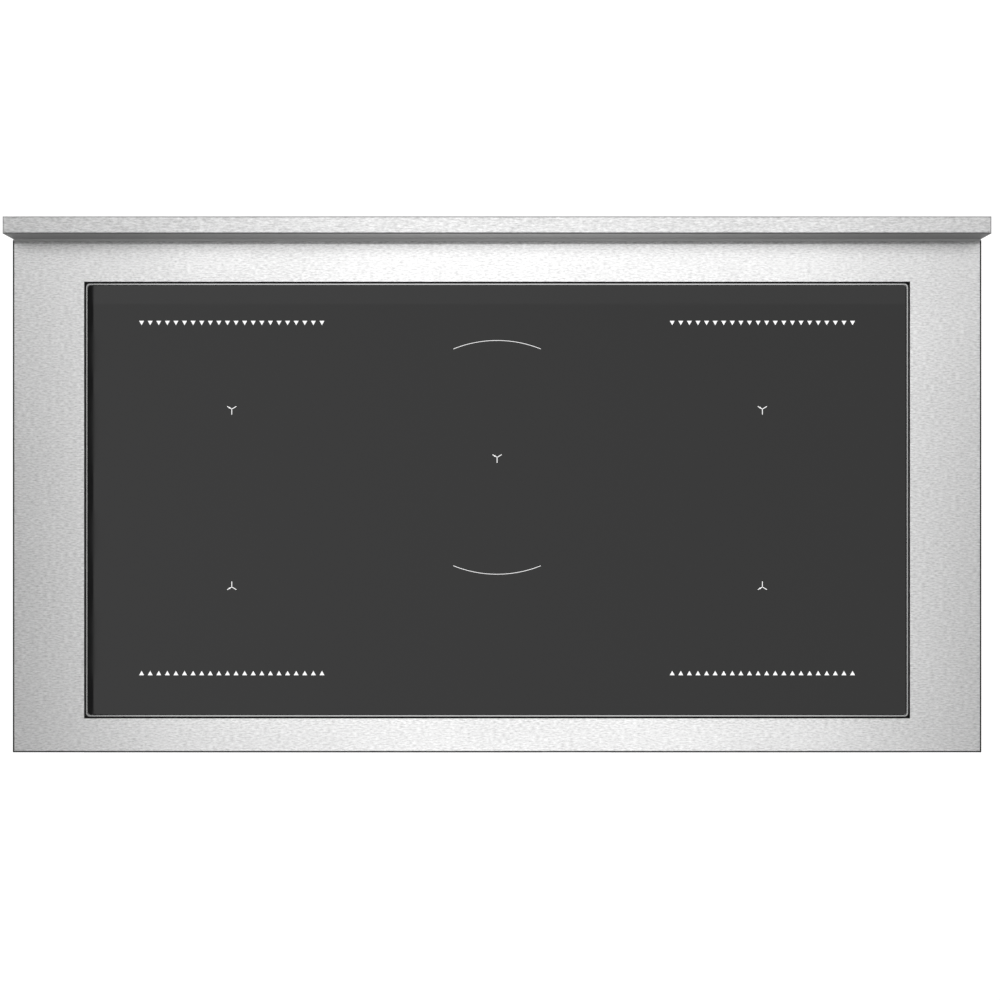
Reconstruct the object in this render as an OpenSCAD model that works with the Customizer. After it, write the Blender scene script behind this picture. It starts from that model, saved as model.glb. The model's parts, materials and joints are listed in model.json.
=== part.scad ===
// Induction range cooker, 110 cm class: a folded steel worktop with a glass hob, two ovens and a drawer.
// X runs along the width, Y from front to back, Z up. The origin is under the middle of the footprint.

/* [Worktop] */
// Width of the worktop
worktop_w = 1096; // [1080:1:1180]
// Depth of the worktop, front edge to wall
worktop_d = 600; // [594:1:640]
// Height of the cooking surface above the floor
worktop_z = 900; // [890:1:925]
// Height of the worktop's folded edge
worktop_edge_h = 40; // [36:1:46]
// Thickness of the worktop sheet
worktop_t = 1.5; // [1.2:0.1:2]
// Outer radius of the worktop's folds
worktop_r = 2.2; // [2.1:0.1:3]
// How far the worktop edge stands in front of the doors
nosing = 28; // [22:1:32]
// Height of the rear upstand above the worktop
upstand_h = 50; // [30:1:110]
// Thickness of the rear upstand, front to back
upstand_d = 19; // [14:1:26]
// How far the upstand reaches down behind the worktop
upstand_seat = 12; // [10:1:16]
// Radius of the worktop's fold in front of the upstand
rear_fold_r = 6; // [4:0.5:8]

/* [Hob] */
// Width of the worktop's hob cut-out
cutout_w = 934; // [920:1:960]
// Strip of worktop in front of the cut-out
cutout_front = 38.5; // [36:0.5:46]
// Strip behind the cut-out, up to the wall
cutout_rear = 67.5; // [62:0.5:75]
// Width of the sealant line round the glass trim
seal_w = 2.2; // [1.6:0.1:3]
// Width of the glass trim that shows
trim_w = 1.7; // [1.4:0.1:3]
// Thickness of the ceramic glass
glass_t = 4; // [3:0.5:6]
// Corner radius of the glass
glass_corner_r = 4; // [2:0.5:8]
// Depth of the hob's steel pan
hob_pan_h = 54; // [52:1:58]
// Width of a bridge coil
bridge_coil_w = 200; // [180:1:208]
// Depth of a bridge coil
bridge_coil_d = 190; // [170:1:196]
// Distance from the middle of the hob to a bridge zone
bridge_x = 301; // [290:1:310]
// Distance from a bridge zone's middle to each of its coils
bridge_y = 101; // [99:0.5:106]
// Radius of the centre coil
centre_coil_r = 132; // [110:1:140]
// How far the centre zone lies behind the middle of the glass
centre_coil_y = 48; // [36:1:60]
// Turns of wire that show in a coil
coil_turns = 12; // [8:1:14]
// Size of the square hob fan
hob_fan_w = 92; // [80:1:100]

/* [Body] */
// Height of the body's underside above the floor
leg_h = 90; // [80:1:100]
// Radius of a leg tube
leg_r = 21; // [16:0.5:24]
// Radius of a foot's threaded stem
stem_r = 6; // [5:0.5:8]
// Thickness of the body's sheet steel
sheet_t = 1.2; // [0.8:0.1:1.4]
// Thickness of the front frame
frame_t = 2; // [1.5:0.1:3]
// Gap between the fronts
reveal = 4; // [3:0.5:5]
// Height of the control panel below the worktop's edge
panel_h = 98; // [94:1:108]
// How far the control panel reaches up behind the worktop's edge
panel_tuck = 12; // [6:1:20]
// Thickness of a door
door_t = 38; // [34:1:40]
// Gap between a closed door and the front frame
door_gap = 3; // [2.5:0.1:4]
// Width of the main oven's door
main_door_w = 638; // [620:1:650]
// Height of the drawer front
drawer_front_h = 134; // [124:1:138]
// Strip of frame between the drawer front and the doors
rail_show = 24; // [20:1:34]

/* [Ovens] */
// Inner width of the main oven
main_oven_w = 520; // [500:1:540]
// How far the side oven's door covers the frame on each side
side_door_cover = 57; // [52:1:66]
// Inner height of both ovens
oven_h = 365; // [350:1:375]
// Depth behind the ovens for the motor, lamps and terminals
rear_room = 89; // [82:1:100]
// Corner radius of the oven cavities
oven_r = 12; // [8:1:20]
// Height of the oven floor above the door's lower edge
oven_rise = 48; // [44:1:54]
// Thickness of the insulation
insulation_t = 25; // [18:1:30]
// Number of shelf levels
shelf_levels = 5; // [4:1:5]
// Distance between shelf levels
shelf_pitch = 58; // [50:1:60]
// How much shorter than the ovens the shelves are
shelf_room = 98; // [94:1:116]
// Radius of the ladder wires
ladder_wire_r = 2; // [1.8:0.1:2.5]
// Radius of a shelf's frame wire
shelf_wire_r = 2.5; // [2:0.1:3]
// Depth of the drip tray
tray_h = 34; // [20:1:38]
// Radius of the heating element tube
element_r = 3.25; // [3:0.05:4]
// Radius of the convection fan
fan_r = 75; // [60:1:80]
// Depth of the fan chamber behind its cover
fan_chamber = 48; // [44:1:54]

/* [Doors, handles and knobs] */
// Thickness of the door glass
pane_t = 4; // [3:0.5:4.5]
// Height of the door windows
window_h = 215; // [180:1:240]
// Width of the main oven's window
main_window_w = 440; // [400:1:470]
// Width of the side oven's window
side_window_w = 262; // [230:1:290]
// Radius of the handle bars
handle_r = 11; // [9:0.5:13]
// How far a handle stands out from its front
handle_reach = 50; // [46:1:54]
// Distance from a door's top edge to its handle
handle_drop = 46; // [40:1:60]
// Radius of a door hinge pin
hinge_pin_r = 4; // [3:0.25:4.5]
// Radius of a knob's grip
knob_r = 19; // [16:0.5:21]
// How far a knob stands out from the panel
knob_l = 27; // [22:0.5:28]
// Distance between knobs
knob_pitch = 92; // [84:1:94]
// Distance from the middle to the first hob knob
hob_knob_x = 460; // [450:1:480]
// Distance from the middle to the first oven knob
oven_knob_x = 250; // [244:1:270]
// Width of the clock display
display_w = 160; // [140:1:170]
// Height of the clock display
display_h = 50; // [40:1:56]

/* [Drawer] */
// Depth of the drawer box
drawer_d = 400; // [340:1:430]
// Height of the drawer box
drawer_box_h = 92; // [70:1:96]
// Width of a drawer rail
rail_w = 14; // [10:0.5:16]
// Height of a drawer rail
rail_h = 12; // [8:0.5:14]

/* [Hidden] */
$fn = 48;

// Clearances and small shared sizes
over = 1;
touch_gap = 0.3;
running_gap = 0.05;
side_clear = 1.5;
back_clear = 0.5;
fold_r = 1.6;

// Places from front to back
total_d = worktop_d - nosing + handle_reach;
y_back = total_d / 2;
y_edge = y_back - worktop_d;
y_face = y_edge + nosing;
y_frame = y_face + door_t + door_gap;
y_inside = y_frame + frame_t;
y_back_panel = y_back - worktop_t - back_clear;
worktop_y = y_back - worktop_d / 2;
y_fold = y_back - upstand_d - touch_gap;

// Places across
body_w = worktop_w - 2 * (worktop_t + side_clear);
main_x = -body_w / 2 + (reveal + main_door_w) / 2;
side_door_w = body_w - main_door_w - 2 * reveal;
side_x = body_w / 2 - (reveal + side_door_w) / 2;

// Heights
worktop_under = worktop_z - worktop_t;
ledge_z = worktop_z - upstand_seat;
ledge_under = ledge_z - worktop_t;
panel_show_top = worktop_z - worktop_edge_h;
panel_bottom = panel_show_top - panel_h;
panel_z = panel_show_top - panel_h / 2;
door_top = panel_bottom - reveal;
drawer_bottom = leg_h + reveal;
drawer_top = drawer_bottom + drawer_front_h;
door_bottom = drawer_top + rail_show;
door_h = door_top - door_bottom;
oven_z = door_bottom + oven_rise;
oven_top = oven_z + oven_h;

// Hob
cutout_d = worktop_d - cutout_front - cutout_rear;
hob_y = y_edge + cutout_front + cutout_d / 2;
glass_drop = 0.8;
trim_drop = 0.4;
seal_drop = 0.7;
glass_w = cutout_w - 2 * (seal_w + trim_w);
glass_d = cutout_d - 2 * (seal_w + trim_w);
glass_edge_r = 0.8;
glass_under = worktop_z - glass_drop - glass_t;
trim_gap = 0.2;
ledge_w = 14;
ledge_t = 1.5;
trim_flange_w = 15;
hob_pan_inset = 2;
hob_pan_w = glass_w - 2 * hob_pan_inset;
hob_pan_d = glass_d - 2 * hob_pan_inset;
hob_pan_top = glass_under - ledge_t;
hob_pan_bottom = hob_pan_top - hob_pan_h;
hob_pan_floor = hob_pan_bottom + sheet_t;
hob_room = 8;
hob_fan_inset = 16;
hob_fan_y = hob_y - glass_d / 2 + hob_fan_inset + hob_fan_w / 2;
hob_fan_h = 25;
hob_fan_rim = 4;
hob_fan_bore_r = hob_fan_w / 2 - hob_fan_rim;
hob_fan_pin_r = 3;
hob_fan_pin_l = hob_fan_h - 4;
coil_gap = 0.8;
coil_t = 4;
coil_top = glass_under - coil_gap;
former_t = 6;
former_under = coil_top - coil_t - former_t;
bridge_coil_r = 60;
coil_eye = 26;

// Ovens
side_oven_w = side_door_w - 2 * side_door_cover;
ovens = [[main_x, main_oven_w], [side_x, side_oven_w]];
oven_back = y_back_panel - rear_room;
oven_d = oven_back - y_inside;
ladder_in = 11;
ladder_offset = ladder_wire_r * 1.8;
ladder_overhang = 14;
rail_pair = 2 * (ladder_wire_r + shelf_wire_r) + 1;
shelf_in = ladder_in + 1.4;
shelf_d = oven_d - shelf_room;
level_rise = 50;
ladder_front = 30;
first_wire_y = y_inside + ladder_front;
shelf_y = first_wire_y + 4;
fan_y = oven_back - fan_chamber / 2;
fan_z = oven_z + oven_h / 2;
fan_shaft_r = 4;
cover_side = 90;
cover_rise = 75;
cover_w = 2 * (fan_r + cover_side);
cover_h = 2 * (fan_r + cover_rise);
motor_r = 38;
motor_l = 36;
motor_flange_r = 50;
motor_flange_t = 2;
motor_boss_r = 14;
motor_boss_l = 10;
lamp_inset = 55;
lamp_x = main_oven_w / 2 - lamp_inset;
lamp_side_x = side_oven_w / 2 - lamp_inset;
lamp_drop = 48;
lamp_z = oven_h / 2 - lamp_drop;
lamp_r = 19;
lamp_rim = 7;
lamp_rim_t = 5;
lamp_dome = 9;
lamp_socket_l = 40;
grill_drop = 24;
grill_front = 80;
grill_rear = 138;
main_grill_pitch = 46;
side_grill_pitch = 52;
gasket_w = 7;
gasket_inset = 7;

// Doors
window_z = (oven_z + oven_top) / 2 - 10;
hinge_ahead = 18;
hinge_rise = 8;
hinge_inset = 40;
y_hinge = y_frame - hinge_ahead;
hinge_z = door_bottom + hinge_rise;
lug_w = 8;
lug_r = 7;
cheek_t = 2.5;
glass_lift = 20;
handle_y = y_face - handle_reach + handle_r;
handle_z = door_top - handle_drop;
handle_end = 38;
handle_post_inset = 36;
handle_post_r = 8;
handle_foot = 3;

// Controls
bezel_t = 2.5;
skirt_r = knob_r + 4;
spindle_r = 3;
switch_w = 34;
switch_t = 26;
hob_knobs = [for (i = [0:4]) -hob_knob_x + i * knob_pitch];
oven_knobs = [for (i = [0:2]) oven_knob_x + i * knob_pitch];
display_x = (hob_knobs[4] + oven_knobs[0]) / 2;

// Drawer
stile_w = 20;
drawer_side_gap = 2;
rail_x = body_w / 2 - stile_w - drawer_side_gap;
box_half = rail_x - rail_w;
drawer_w = body_w - reveal;
drawer_handle_drop = 44;
drawer_handle_z = drawer_top - drawer_handle_drop;
drawer_box_z = leg_h + sheet_t + 16;
rail_z = drawer_box_z + drawer_box_h / 2;
drawer_back = y_face + door_t + drawer_d;

// Back
terminal_w = 130;
terminal_h = 90;
terminal_d = 38;
terminal_inset = 145;
terminal_x = terminal_inset - body_w / 2;
terminal_rise = 60;
terminal_z = oven_z + terminal_rise;
gland_r = 12.65;
stability_pitch = 300;
stability_r = 3;

// Feet
foot_pad_h = 14;
foot_pad_r = leg_r - 2;
leg_inset = 62;
leg_x = body_w / 2 - leg_inset;
leg_front_y = y_frame + leg_inset;
leg_rear_y = y_back_panel - leg_inset;

// Outlines

module rounded(w, d, r) {
    square([w - 2 * r, d], center = true);
    square([w, d - 2 * r], center = true);
    for (x = [-1, 1], y = [-1, 1]) translate([x * (w / 2 - r), y * (d / 2 - r)]) circle(r);
}

module rounded_ring(w, d, r, band) {
    difference() {
        rounded(w, d, r);
        rounded(w - 2 * band, d - 2 * band, max(r - band, 0.5));
    }
}

// A rectangle with its face along y = 0, whose two corners there are rounded
module folded_profile(w, d, r) {
    translate([-w / 2, r]) square([w, d - r]);
    translate([r - w / 2, 0]) square([w - 2 * r, d]);
    for (x = [-1, 1]) translate([x * (w / 2 - r), r]) circle(r);
}

// A block with its face at y = 0 and rounded folds, centred on x and z
module folded_block(w, h, d, r) {
    intersection() {
        linear_extrude(h, center = true) folded_profile(w, d, r);
        rotate([0, 90, 0]) linear_extrude(w, center = true) folded_profile(h, d, r);
    }
}

// A tray of folded sheet with its face at y = 0 and its walls running back to y = d
module folded_pan(w, h, d, t, r) {
    difference() {
        folded_block(w, h, d, r);
        translate([0, t, 0]) folded_block(w - 2 * t, h - 2 * t, d, max(r - t, t / 5));
    }
}

// Draws an outline of the Y-Z plane along X
module along_x(w) rotate([90, 0, 90]) linear_extrude(w, center = true) children();

// Draws an outline standing in the X-Z plane, from y to y + depth
module upright(y, depth) {
    translate([0, y + depth, 0]) rotate([90, 0, 0]) linear_extrude(depth) children();
}

// A round bar along X or Y, from its middle
module bar_x(r, l) rotate([0, 90, 0]) cylinder(r = r, h = l, center = true);
module bar_y(r, y0, y1) translate([0, y1, 0]) rotate([90, 0, 0]) cylinder(r = r, h = y1 - y0);

// Worktop and hob

// The Y-Z outline under the worktop's rear fold and the ledge behind it, drawn in by inset
module rear_outline(inset) {
    fold_y = y_fold - rear_fold_r;
    fold_z = worktop_z - rear_fold_r;
    y0 = fold_y - rear_fold_r - over - inset;
    z0 = ledge_under - rear_fold_r - over - inset;
    steps = [[fold_y, worktop_z - inset], [y_fold - inset, fold_z], [y_back + inset, ledge_z - inset]];
    for (corner = steps) translate([y0, z0]) square(corner - [y0, z0]);
    translate([fold_y, fold_z]) circle(rear_fold_r - inset);
}

module on_worktop() translate([0, worktop_y, worktop_z]) rotate([-90, 0, 0]) children();

module worktop() color("silver") {
    nosing_lip = 10;
    difference() {
        on_worktop() folded_pan(worktop_w, worktop_d, worktop_edge_h, worktop_t, worktop_r);
        translate([0, hob_y, worktop_z]) cube([cutout_w, cutout_d, 4 * worktop_t], center = true);
        along_x(worktop_w + 2 * over) difference() {
            translate([y_fold - rear_fold_r, ledge_z])
                square([rear_fold_r + upstand_d + 2 * over, upstand_seat + over]);
            rear_outline(0);
        }
    }
    intersection() {
        on_worktop() folded_block(worktop_w, worktop_d, worktop_edge_h, worktop_r);
        along_x(worktop_w) difference() {
            rear_outline(0);
            rear_outline(worktop_t);
        }
    }
    translate([-worktop_w / 2 + worktop_t, y_edge + worktop_t / 2, worktop_z - worktop_edge_h])
        cube([worktop_w - 2 * worktop_t, nosing_lip, worktop_t]);
}

// The upstand stands on the worktop's rear ledge
module upstand() color("silver")
    translate([0, y_back - upstand_d / 2, worktop_z + upstand_h]) rotate([-90, 0, 0])
        folded_pan(worktop_w, upstand_d, upstand_h + upstand_seat, sheet_t, fold_r);

module hob_glass() color("#3b3b3b") translate([0, hob_y, 0]) intersection() {
    translate([0, 0, glass_under + glass_t]) rotate([-90, 0, 0])
        folded_block(glass_w, glass_d, glass_t, glass_edge_r);
    translate([0, 0, glass_under - over]) linear_extrude(glass_t + 2 * over)
        rounded(glass_w, glass_d, glass_corner_r);
}

module glass_trim() color("darkgray") translate([0, hob_y, 0]) {
    lip_w = glass_w + 2 * trim_w;
    lip_d = glass_d + 2 * trim_w;
    translate([0, 0, hob_pan_top]) linear_extrude(worktop_z - trim_drop - hob_pan_top)
        rounded_ring(lip_w, lip_d, glass_corner_r, trim_w - trim_gap);
    translate([0, 0, hob_pan_top]) linear_extrude(ledge_t)
        rounded_ring(lip_w, lip_d, glass_corner_r, trim_w + ledge_w);
    translate([0, 0, worktop_under - ledge_t]) linear_extrude(ledge_t) difference() {
        square([cutout_w + 2 * trim_flange_w, cutout_d + 2 * trim_flange_w], center = true);
        rounded(lip_w - trim_w / 2, lip_d - trim_w / 2, glass_corner_r);
    }
}

module glass_seal() color("black") translate([0, hob_y, worktop_under])
    linear_extrude(worktop_t - seal_drop) difference() {
        square([cutout_w, cutout_d], center = true);
        rounded(glass_w + 2 * trim_w, glass_d + 2 * trim_w, glass_corner_r);
    }

// The room that the hob's pan and trim flange take under the worktop
module hob_space() {
    pan_room = [hob_pan_w + 2 * hob_room, hob_pan_d + 2 * hob_room, hob_pan_h + over];
    flange_side = 2 * trim_flange_w + hob_room;
    flange_room = [cutout_w + flange_side, cutout_d + flange_side, hob_room];
    translate([0, hob_y, hob_pan_bottom + pan_room[2] / 2]) cube(pan_room, center = true);
    translate([0, hob_y, worktop_under]) cube(flange_room, center = true);
}

module hob_pan() color("lightgray") {
    vent_pitch = 34;
    vents = floor(hob_pan_w / vent_pitch) - 3;
    difference() {
        translate([0, hob_y, hob_pan_bottom + hob_pan_h / 2])
            cube([hob_pan_w, hob_pan_d, hob_pan_h], center = true);
        translate([0, hob_y, hob_pan_floor + hob_pan_h / 2])
            cube([hob_pan_w - 2 * sheet_t, hob_pan_d - 2 * sheet_t, hob_pan_h], center = true);
        translate([0, hob_fan_y, hob_pan_bottom - over])
            cylinder(r = hob_fan_bore_r, h = sheet_t + 2 * over);
        for (i = [0:vents - 1])
            translate([(i - (vents - 1) / 2) * vent_pitch, hob_y + hob_pan_d / 2, hob_pan_top - 22])
                cube([vent_pitch * 0.6, 4 * sheet_t, 8], center = true);
    }
}

// A flat winding of wire, grooved between its turns
module bridge_winding() {
    band = (bridge_coil_d - 2 * coil_eye) / 2;
    pitch = band / coil_turns;
    difference() {
        linear_extrude(coil_t) rounded_ring(bridge_coil_w, bridge_coil_d, bridge_coil_r, band);
        for (i = [1:coil_turns - 1]) translate([0, 0, coil_t * 0.7]) linear_extrude(coil_t)
            rounded_ring(
                bridge_coil_w - 2 * i * pitch, bridge_coil_d - 2 * i * pitch,
                max(bridge_coil_r - i * pitch, 2), pitch * 0.2
            );
    }
}

module centre_winding() {
    pitch = (centre_coil_r - coil_eye) / coil_turns;
    rotate_extrude() difference() {
        translate([coil_eye, 0]) square([centre_coil_r - coil_eye, coil_t]);
        for (i = [1:coil_turns - 1])
            translate([coil_eye + (i - 0.1) * pitch, coil_t * 0.7]) square([pitch * 0.2, coil_t]);
    }
}

module at_bridge_coils() {
    for (x = [-1, 1], y = [-1, 1]) translate([x * bridge_x, hob_y + y * bridge_y, 0]) children();
}

module induction_coils() color("#b87333") {
    at_bridge_coils() translate([0, 0, coil_top - coil_t]) bridge_winding();
    translate([0, hob_y + centre_coil_y, coil_top - coil_t]) centre_winding();
}

module former_legs(x, y) {
    for (i = [-1, 1], j = [-1, 1]) translate([i * x, j * y, hob_pan_floor])
        cylinder(r = 5, h = former_under - hob_pan_floor + former_t / 2);
}

module coil_formers() color("ivory") {
    sensor_r = 8;
    rib_l = coil_eye + 12;
    at_bridge_coils() {
        translate([0, 0, former_under]) linear_extrude(former_t) {
            rounded_ring(bridge_coil_w, bridge_coil_d, bridge_coil_r, bridge_coil_d / 2 - coil_eye);
            for (a = [0:60:120]) rotate(a) square([2 * rib_l, 6], center = true);
        }
        translate([0, 0, former_under]) cylinder(r = sensor_r, h = glass_under - touch_gap - former_under);
        former_legs(bridge_coil_w / 2 - 10, bridge_coil_d / 2 - bridge_coil_r / 2);
    }
    translate([0, hob_y + centre_coil_y, 0]) {
        translate([0, 0, former_under]) {
            linear_extrude(former_t) difference() {
                circle(centre_coil_r);
                circle(coil_eye);
            }
            linear_extrude(former_t) for (a = [0:60:120]) rotate(a) square([2 * rib_l, 6], center = true);
            cylinder(r = sensor_r, h = glass_under - touch_gap - former_under);
        }
        former_legs(centre_coil_r * 0.68, centre_coil_r * 0.68);
    }
}

module power_boards() color("darkgreen") {
    board_w = 160;
    board_d = 300;
    board_t = 1.6;
    post_r = 4;
    post_inset = 8;
    stand_off = 6;
    row_x = 40;
    sink_w = 48;
    sink_d = 200;
    sink_t = 4;
    fins = 7;
    fin_t = 2;
    fin_h = 22;
    capacitor_r = 16;
    capacitor_h = 24;
    row_pitch = 45;
    choke_w = 40;
    choke_d = 60;
    choke_h = 20;
    for (s = [-1, 1]) translate([s * bridge_x, hob_y, hob_pan_floor]) {
        for (x = [-1, 1], y = [-1, 1])
            translate([x * (board_w / 2 - post_inset), y * (board_d / 2 - post_inset), 0])
                cylinder(r = post_r, h = stand_off);
        translate([0, 0, stand_off + board_t / 2]) cube([board_w, board_d, board_t], center = true);
        translate([-row_x - sink_w / 2, -sink_d / 2, stand_off + board_t]) {
            cube([sink_w, sink_d, sink_t]);
            for (i = [0:fins - 1]) translate([i * (sink_w - fin_t) / (fins - 1), 0, 0])
                cube([fin_t, sink_d, fin_h]);
        }
        for (i = [-2:0]) translate([row_x, i * row_pitch, stand_off])
            cylinder(r = capacitor_r, h = capacitor_h);
        translate([row_x - choke_w / 2, row_pitch, stand_off]) cube([choke_w, choke_d, choke_h]);
    }
}

module hob_fan_frame() color("#303030") translate([0, hob_fan_y, hob_pan_floor]) {
    spoke_t = 3;
    screw_x = hob_fan_w / 2 - 5;
    screw_r = 2.2;
    difference() {
        translate([0, 0, hob_fan_h / 2]) cube([hob_fan_w, hob_fan_w, hob_fan_h], center = true);
        translate([0, 0, -over]) cylinder(r = hob_fan_bore_r, h = hob_fan_h + 2 * over);
        for (x = [-1, 1], y = [-1, 1])
            translate([x * screw_x, y * screw_x, -over]) cylinder(r = screw_r, h = hob_fan_h + 2 * over);
    }
    for (a = [0:120:240]) rotate(a) translate([0, -2.5, 0]) cube([hob_fan_bore_r + 1, 5, spoke_t]);
    cylinder(r = 14, h = spoke_t);
    cylinder(r = hob_fan_pin_r, h = hob_fan_pin_l);
}

module hob_fan() color("#202020") translate([0, hob_fan_y, hob_pan_floor]) {
    blades = 7;
    hub_r = 17;
    base = 4;
    hub_h = hob_fan_h - 7;
    difference() {
        union() {
            translate([0, 0, base]) cylinder(r = hub_r, h = hub_h);
            intersection() {
                translate([0, 0, base]) cylinder(r = hob_fan_bore_r - 1.5, h = hub_h);
                for (i = [0:blades - 1]) rotate(i * 360 / blades)
                    translate([hub_r - 2, 0, base + hub_h / 2]) rotate([38, 0, 0])
                        translate([0, -hub_h, -0.8]) cube([hob_fan_w / 2, 2 * hub_h, 1.6]);
            }
        }
        cylinder(r = hob_fan_pin_r + running_gap, h = hob_fan_pin_l + touch_gap);
    }
}

// Body

module leg_tube() difference() {
    translate([0, 0, foot_pad_h + touch_gap]) cylinder(r = leg_r, h = leg_h - foot_pad_h - touch_gap);
    cylinder(r = stem_r + running_gap, h = leg_h);
}

module base_frame() color("lightgray") {
    wall_h = 14;
    y0 = y_inside + sheet_t;
    depth = y_back_panel - 2 * sheet_t - y0;
    width = body_w - 2 * sheet_t;
    difference() {
        translate([-width / 2, y0, leg_h]) cube([width, depth, wall_h]);
        translate([sheet_t - width / 2, y0 + sheet_t, leg_h + sheet_t])
            cube([width - 2 * sheet_t, depth - 2 * sheet_t, wall_h]);
    }
    for (x = [-1, 1], y = [leg_front_y, leg_rear_y]) translate([x * leg_x, y, 0]) leg_tube();
}

// A levelling foot whose threaded stem runs up into its leg tube
module foot(x, y) color("dimgray") translate([x, y, 0]) {
    rotate_extrude() polygon([
        [0, 0], [foot_pad_r - 1.5, 0], [foot_pad_r, 1.5], [foot_pad_r, foot_pad_h - 2],
        [foot_pad_r - 2, foot_pad_h], [0, foot_pad_h]
    ]);
    cylinder(r = stem_r, h = leg_h - 18);
}

// One side of the body: a sheet with its edges folded inward, drawn for the right-hand side
module side_panel() {
    flange = 18;
    depth = y_back_panel - sheet_t - y_inside;
    height = worktop_under - leg_h;
    difference() {
        union() {
            translate([body_w / 2 - sheet_t, y_inside, leg_h]) cube([sheet_t, depth, height]);
            translate([body_w / 2 - flange, y_inside, leg_h]) {
                cube([flange, sheet_t, height]);
                translate([0, depth - sheet_t, 0]) cube([flange, sheet_t, height]);
                translate([0, 0, height - sheet_t]) cube([flange, depth, sheet_t]);
            }
        }
        translate([body_w / 2 - flange - over, y_fold - rear_fold_r, ledge_under])
            cube([flange + 2 * over, depth, height]);
        hob_space();
    }
}

module side_panel_left() color("silver") mirror([1, 0, 0]) side_panel();
module side_panel_right() color("silver") side_panel();

module back_panel() color("lightgray") {
    louvres = 9;
    louvre_w = 150;
    louvre_pitch = 9;
    louvre_rise = 56;
    stability_rise = 24;
    top_gap = 2;
    difference() {
        translate([-body_w / 2, y_back_panel - sheet_t, leg_h])
            cube([body_w, sheet_t, ledge_under - top_gap - leg_h]);
        translate([terminal_x, y_back_panel, terminal_z])
            cube([terminal_w + 2 * touch_gap, 4 * sheet_t, terminal_h + 2 * touch_gap], center = true);
        for (x = [-1, 0, 1], i = [0:louvres - 1])
            translate([x * 2.1 * louvre_w, y_back_panel, oven_top + louvre_rise + i * louvre_pitch])
                cube([louvre_w, 4 * sheet_t, 4], center = true);
        for (x = [-1, 1]) translate([x * stability_pitch / 2, 0, oven_top + stability_rise])
            bar_y(stability_r, y_back_panel - 4 * sheet_t, y_back_panel + over);
    }
}

module terminal_box() color("dimgray") translate([terminal_x, y_back_panel, terminal_z]) {
    wall = 3;
    lip = 8;
    bush_l = 14;
    difference() {
        union() {
            translate([0, -terminal_d / 2, 0]) cube([terminal_w, terminal_d, terminal_h], center = true);
            translate([0, -sheet_t - wall / 2, 0])
                cube([terminal_w + 2 * lip, wall, terminal_h + 2 * lip], center = true);
        }
        translate([0, -terminal_d / 2 - wall, 0])
            cube([terminal_w - 2 * wall, terminal_d, terminal_h - 2 * wall], center = true);
        bar_y(gland_r, -terminal_d, over);
    }
    difference() {
        bar_y(gland_r + 5, -bush_l, -wall / 2);
        bar_y(gland_r, -bush_l - over, over);
    }
}

module plinth() color("silver") {
    floor_gap = 10;
    set_back = 24;
    end_gap = 12;
    top_fold = 14;
    width = body_w - 2 * end_gap;
    translate([-width / 2, y_frame + set_back, floor_gap]) {
        cube([width, sheet_t, leg_h - floor_gap]);
        translate([0, 0, leg_h - floor_gap - sheet_t]) cube([width, top_fold, sheet_t]);
        cube([width, top_fold / 2, sheet_t]);
    }
}

module front_frame() color("gray") {
    top_fold = 20;
    cross_h = 12;
    wide_stile = 30;
    inner_w = body_w - 2 * wide_stile;
    difference() {
        upright(y_frame, frame_t) difference() {
            translate([-body_w / 2, leg_h]) square([body_w, worktop_under - leg_h]);
            translate([stile_w - body_w / 2, leg_h + cross_h])
                square([body_w - 2 * stile_w, drawer_top - leg_h - 2 * cross_h]);
            for (o = ovens) translate([o[0], oven_z + oven_h / 2]) rounded(o[1], oven_h, oven_r);
            translate([-inner_w / 2, panel_bottom + cross_h])
                square([inner_w, hob_pan_bottom - panel_bottom - 2 * cross_h]);
            translate([-inner_w / 2, hob_pan_bottom])
                square([inner_w, worktop_under - hob_pan_bottom + over]);
        }
        hob_space();
    }
    translate([-inner_w / 2, y_frame, hob_pan_bottom - frame_t]) cube([inner_w, top_fold, frame_t]);
}

// Controls

module control_panel() color("silver") {
    top_return = 12;
    depth = door_t + door_gap;
    height = panel_h + panel_tuck;
    difference() {
        translate([0, y_face, panel_bottom + height / 2]) folded_pan(body_w, height, depth, sheet_t, fold_r);
        translate([sheet_t - body_w / 2, y_face + top_return, panel_bottom + height - 2 * sheet_t])
            cube([body_w - 2 * sheet_t, depth, 4 * sheet_t]);
        for (x = concat(hob_knobs, oven_knobs)) translate([x, 0, panel_z])
            bar_y(spindle_r + 1.5, y_face - over, y_face + 4 * sheet_t);
        translate([display_x, y_face, panel_z])
            cube([display_w + 2 * touch_gap, 6 * sheet_t, display_h + 2 * touch_gap], center = true);
    }
}

module knob_bezels() color("silver")
    for (x = concat(hob_knobs, oven_knobs)) translate([x, y_face, panel_z]) rotate([90, 0, 0])
        rotate_extrude() polygon([
            [skirt_r + 0.6, 0], [skirt_r + 6, 0], [skirt_r + 6, 1],
            [skirt_r + 4.5, bezel_t], [skirt_r + 0.6, bezel_t]
        ]);

module rotary_switches() color("#303030")
    for (x = concat(hob_knobs, oven_knobs)) translate([x, y_face + sheet_t, panel_z]) {
        difference() {
            upright(0, switch_t) rounded(switch_w, switch_w, 4);
            bar_y(spindle_r + running_gap, -over, switch_t - 8);
        }
        for (z = [-10, 0, 10]) translate([-4, switch_t, z - 0.4]) cube([8, 8, 0.8]);
    }

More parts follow.
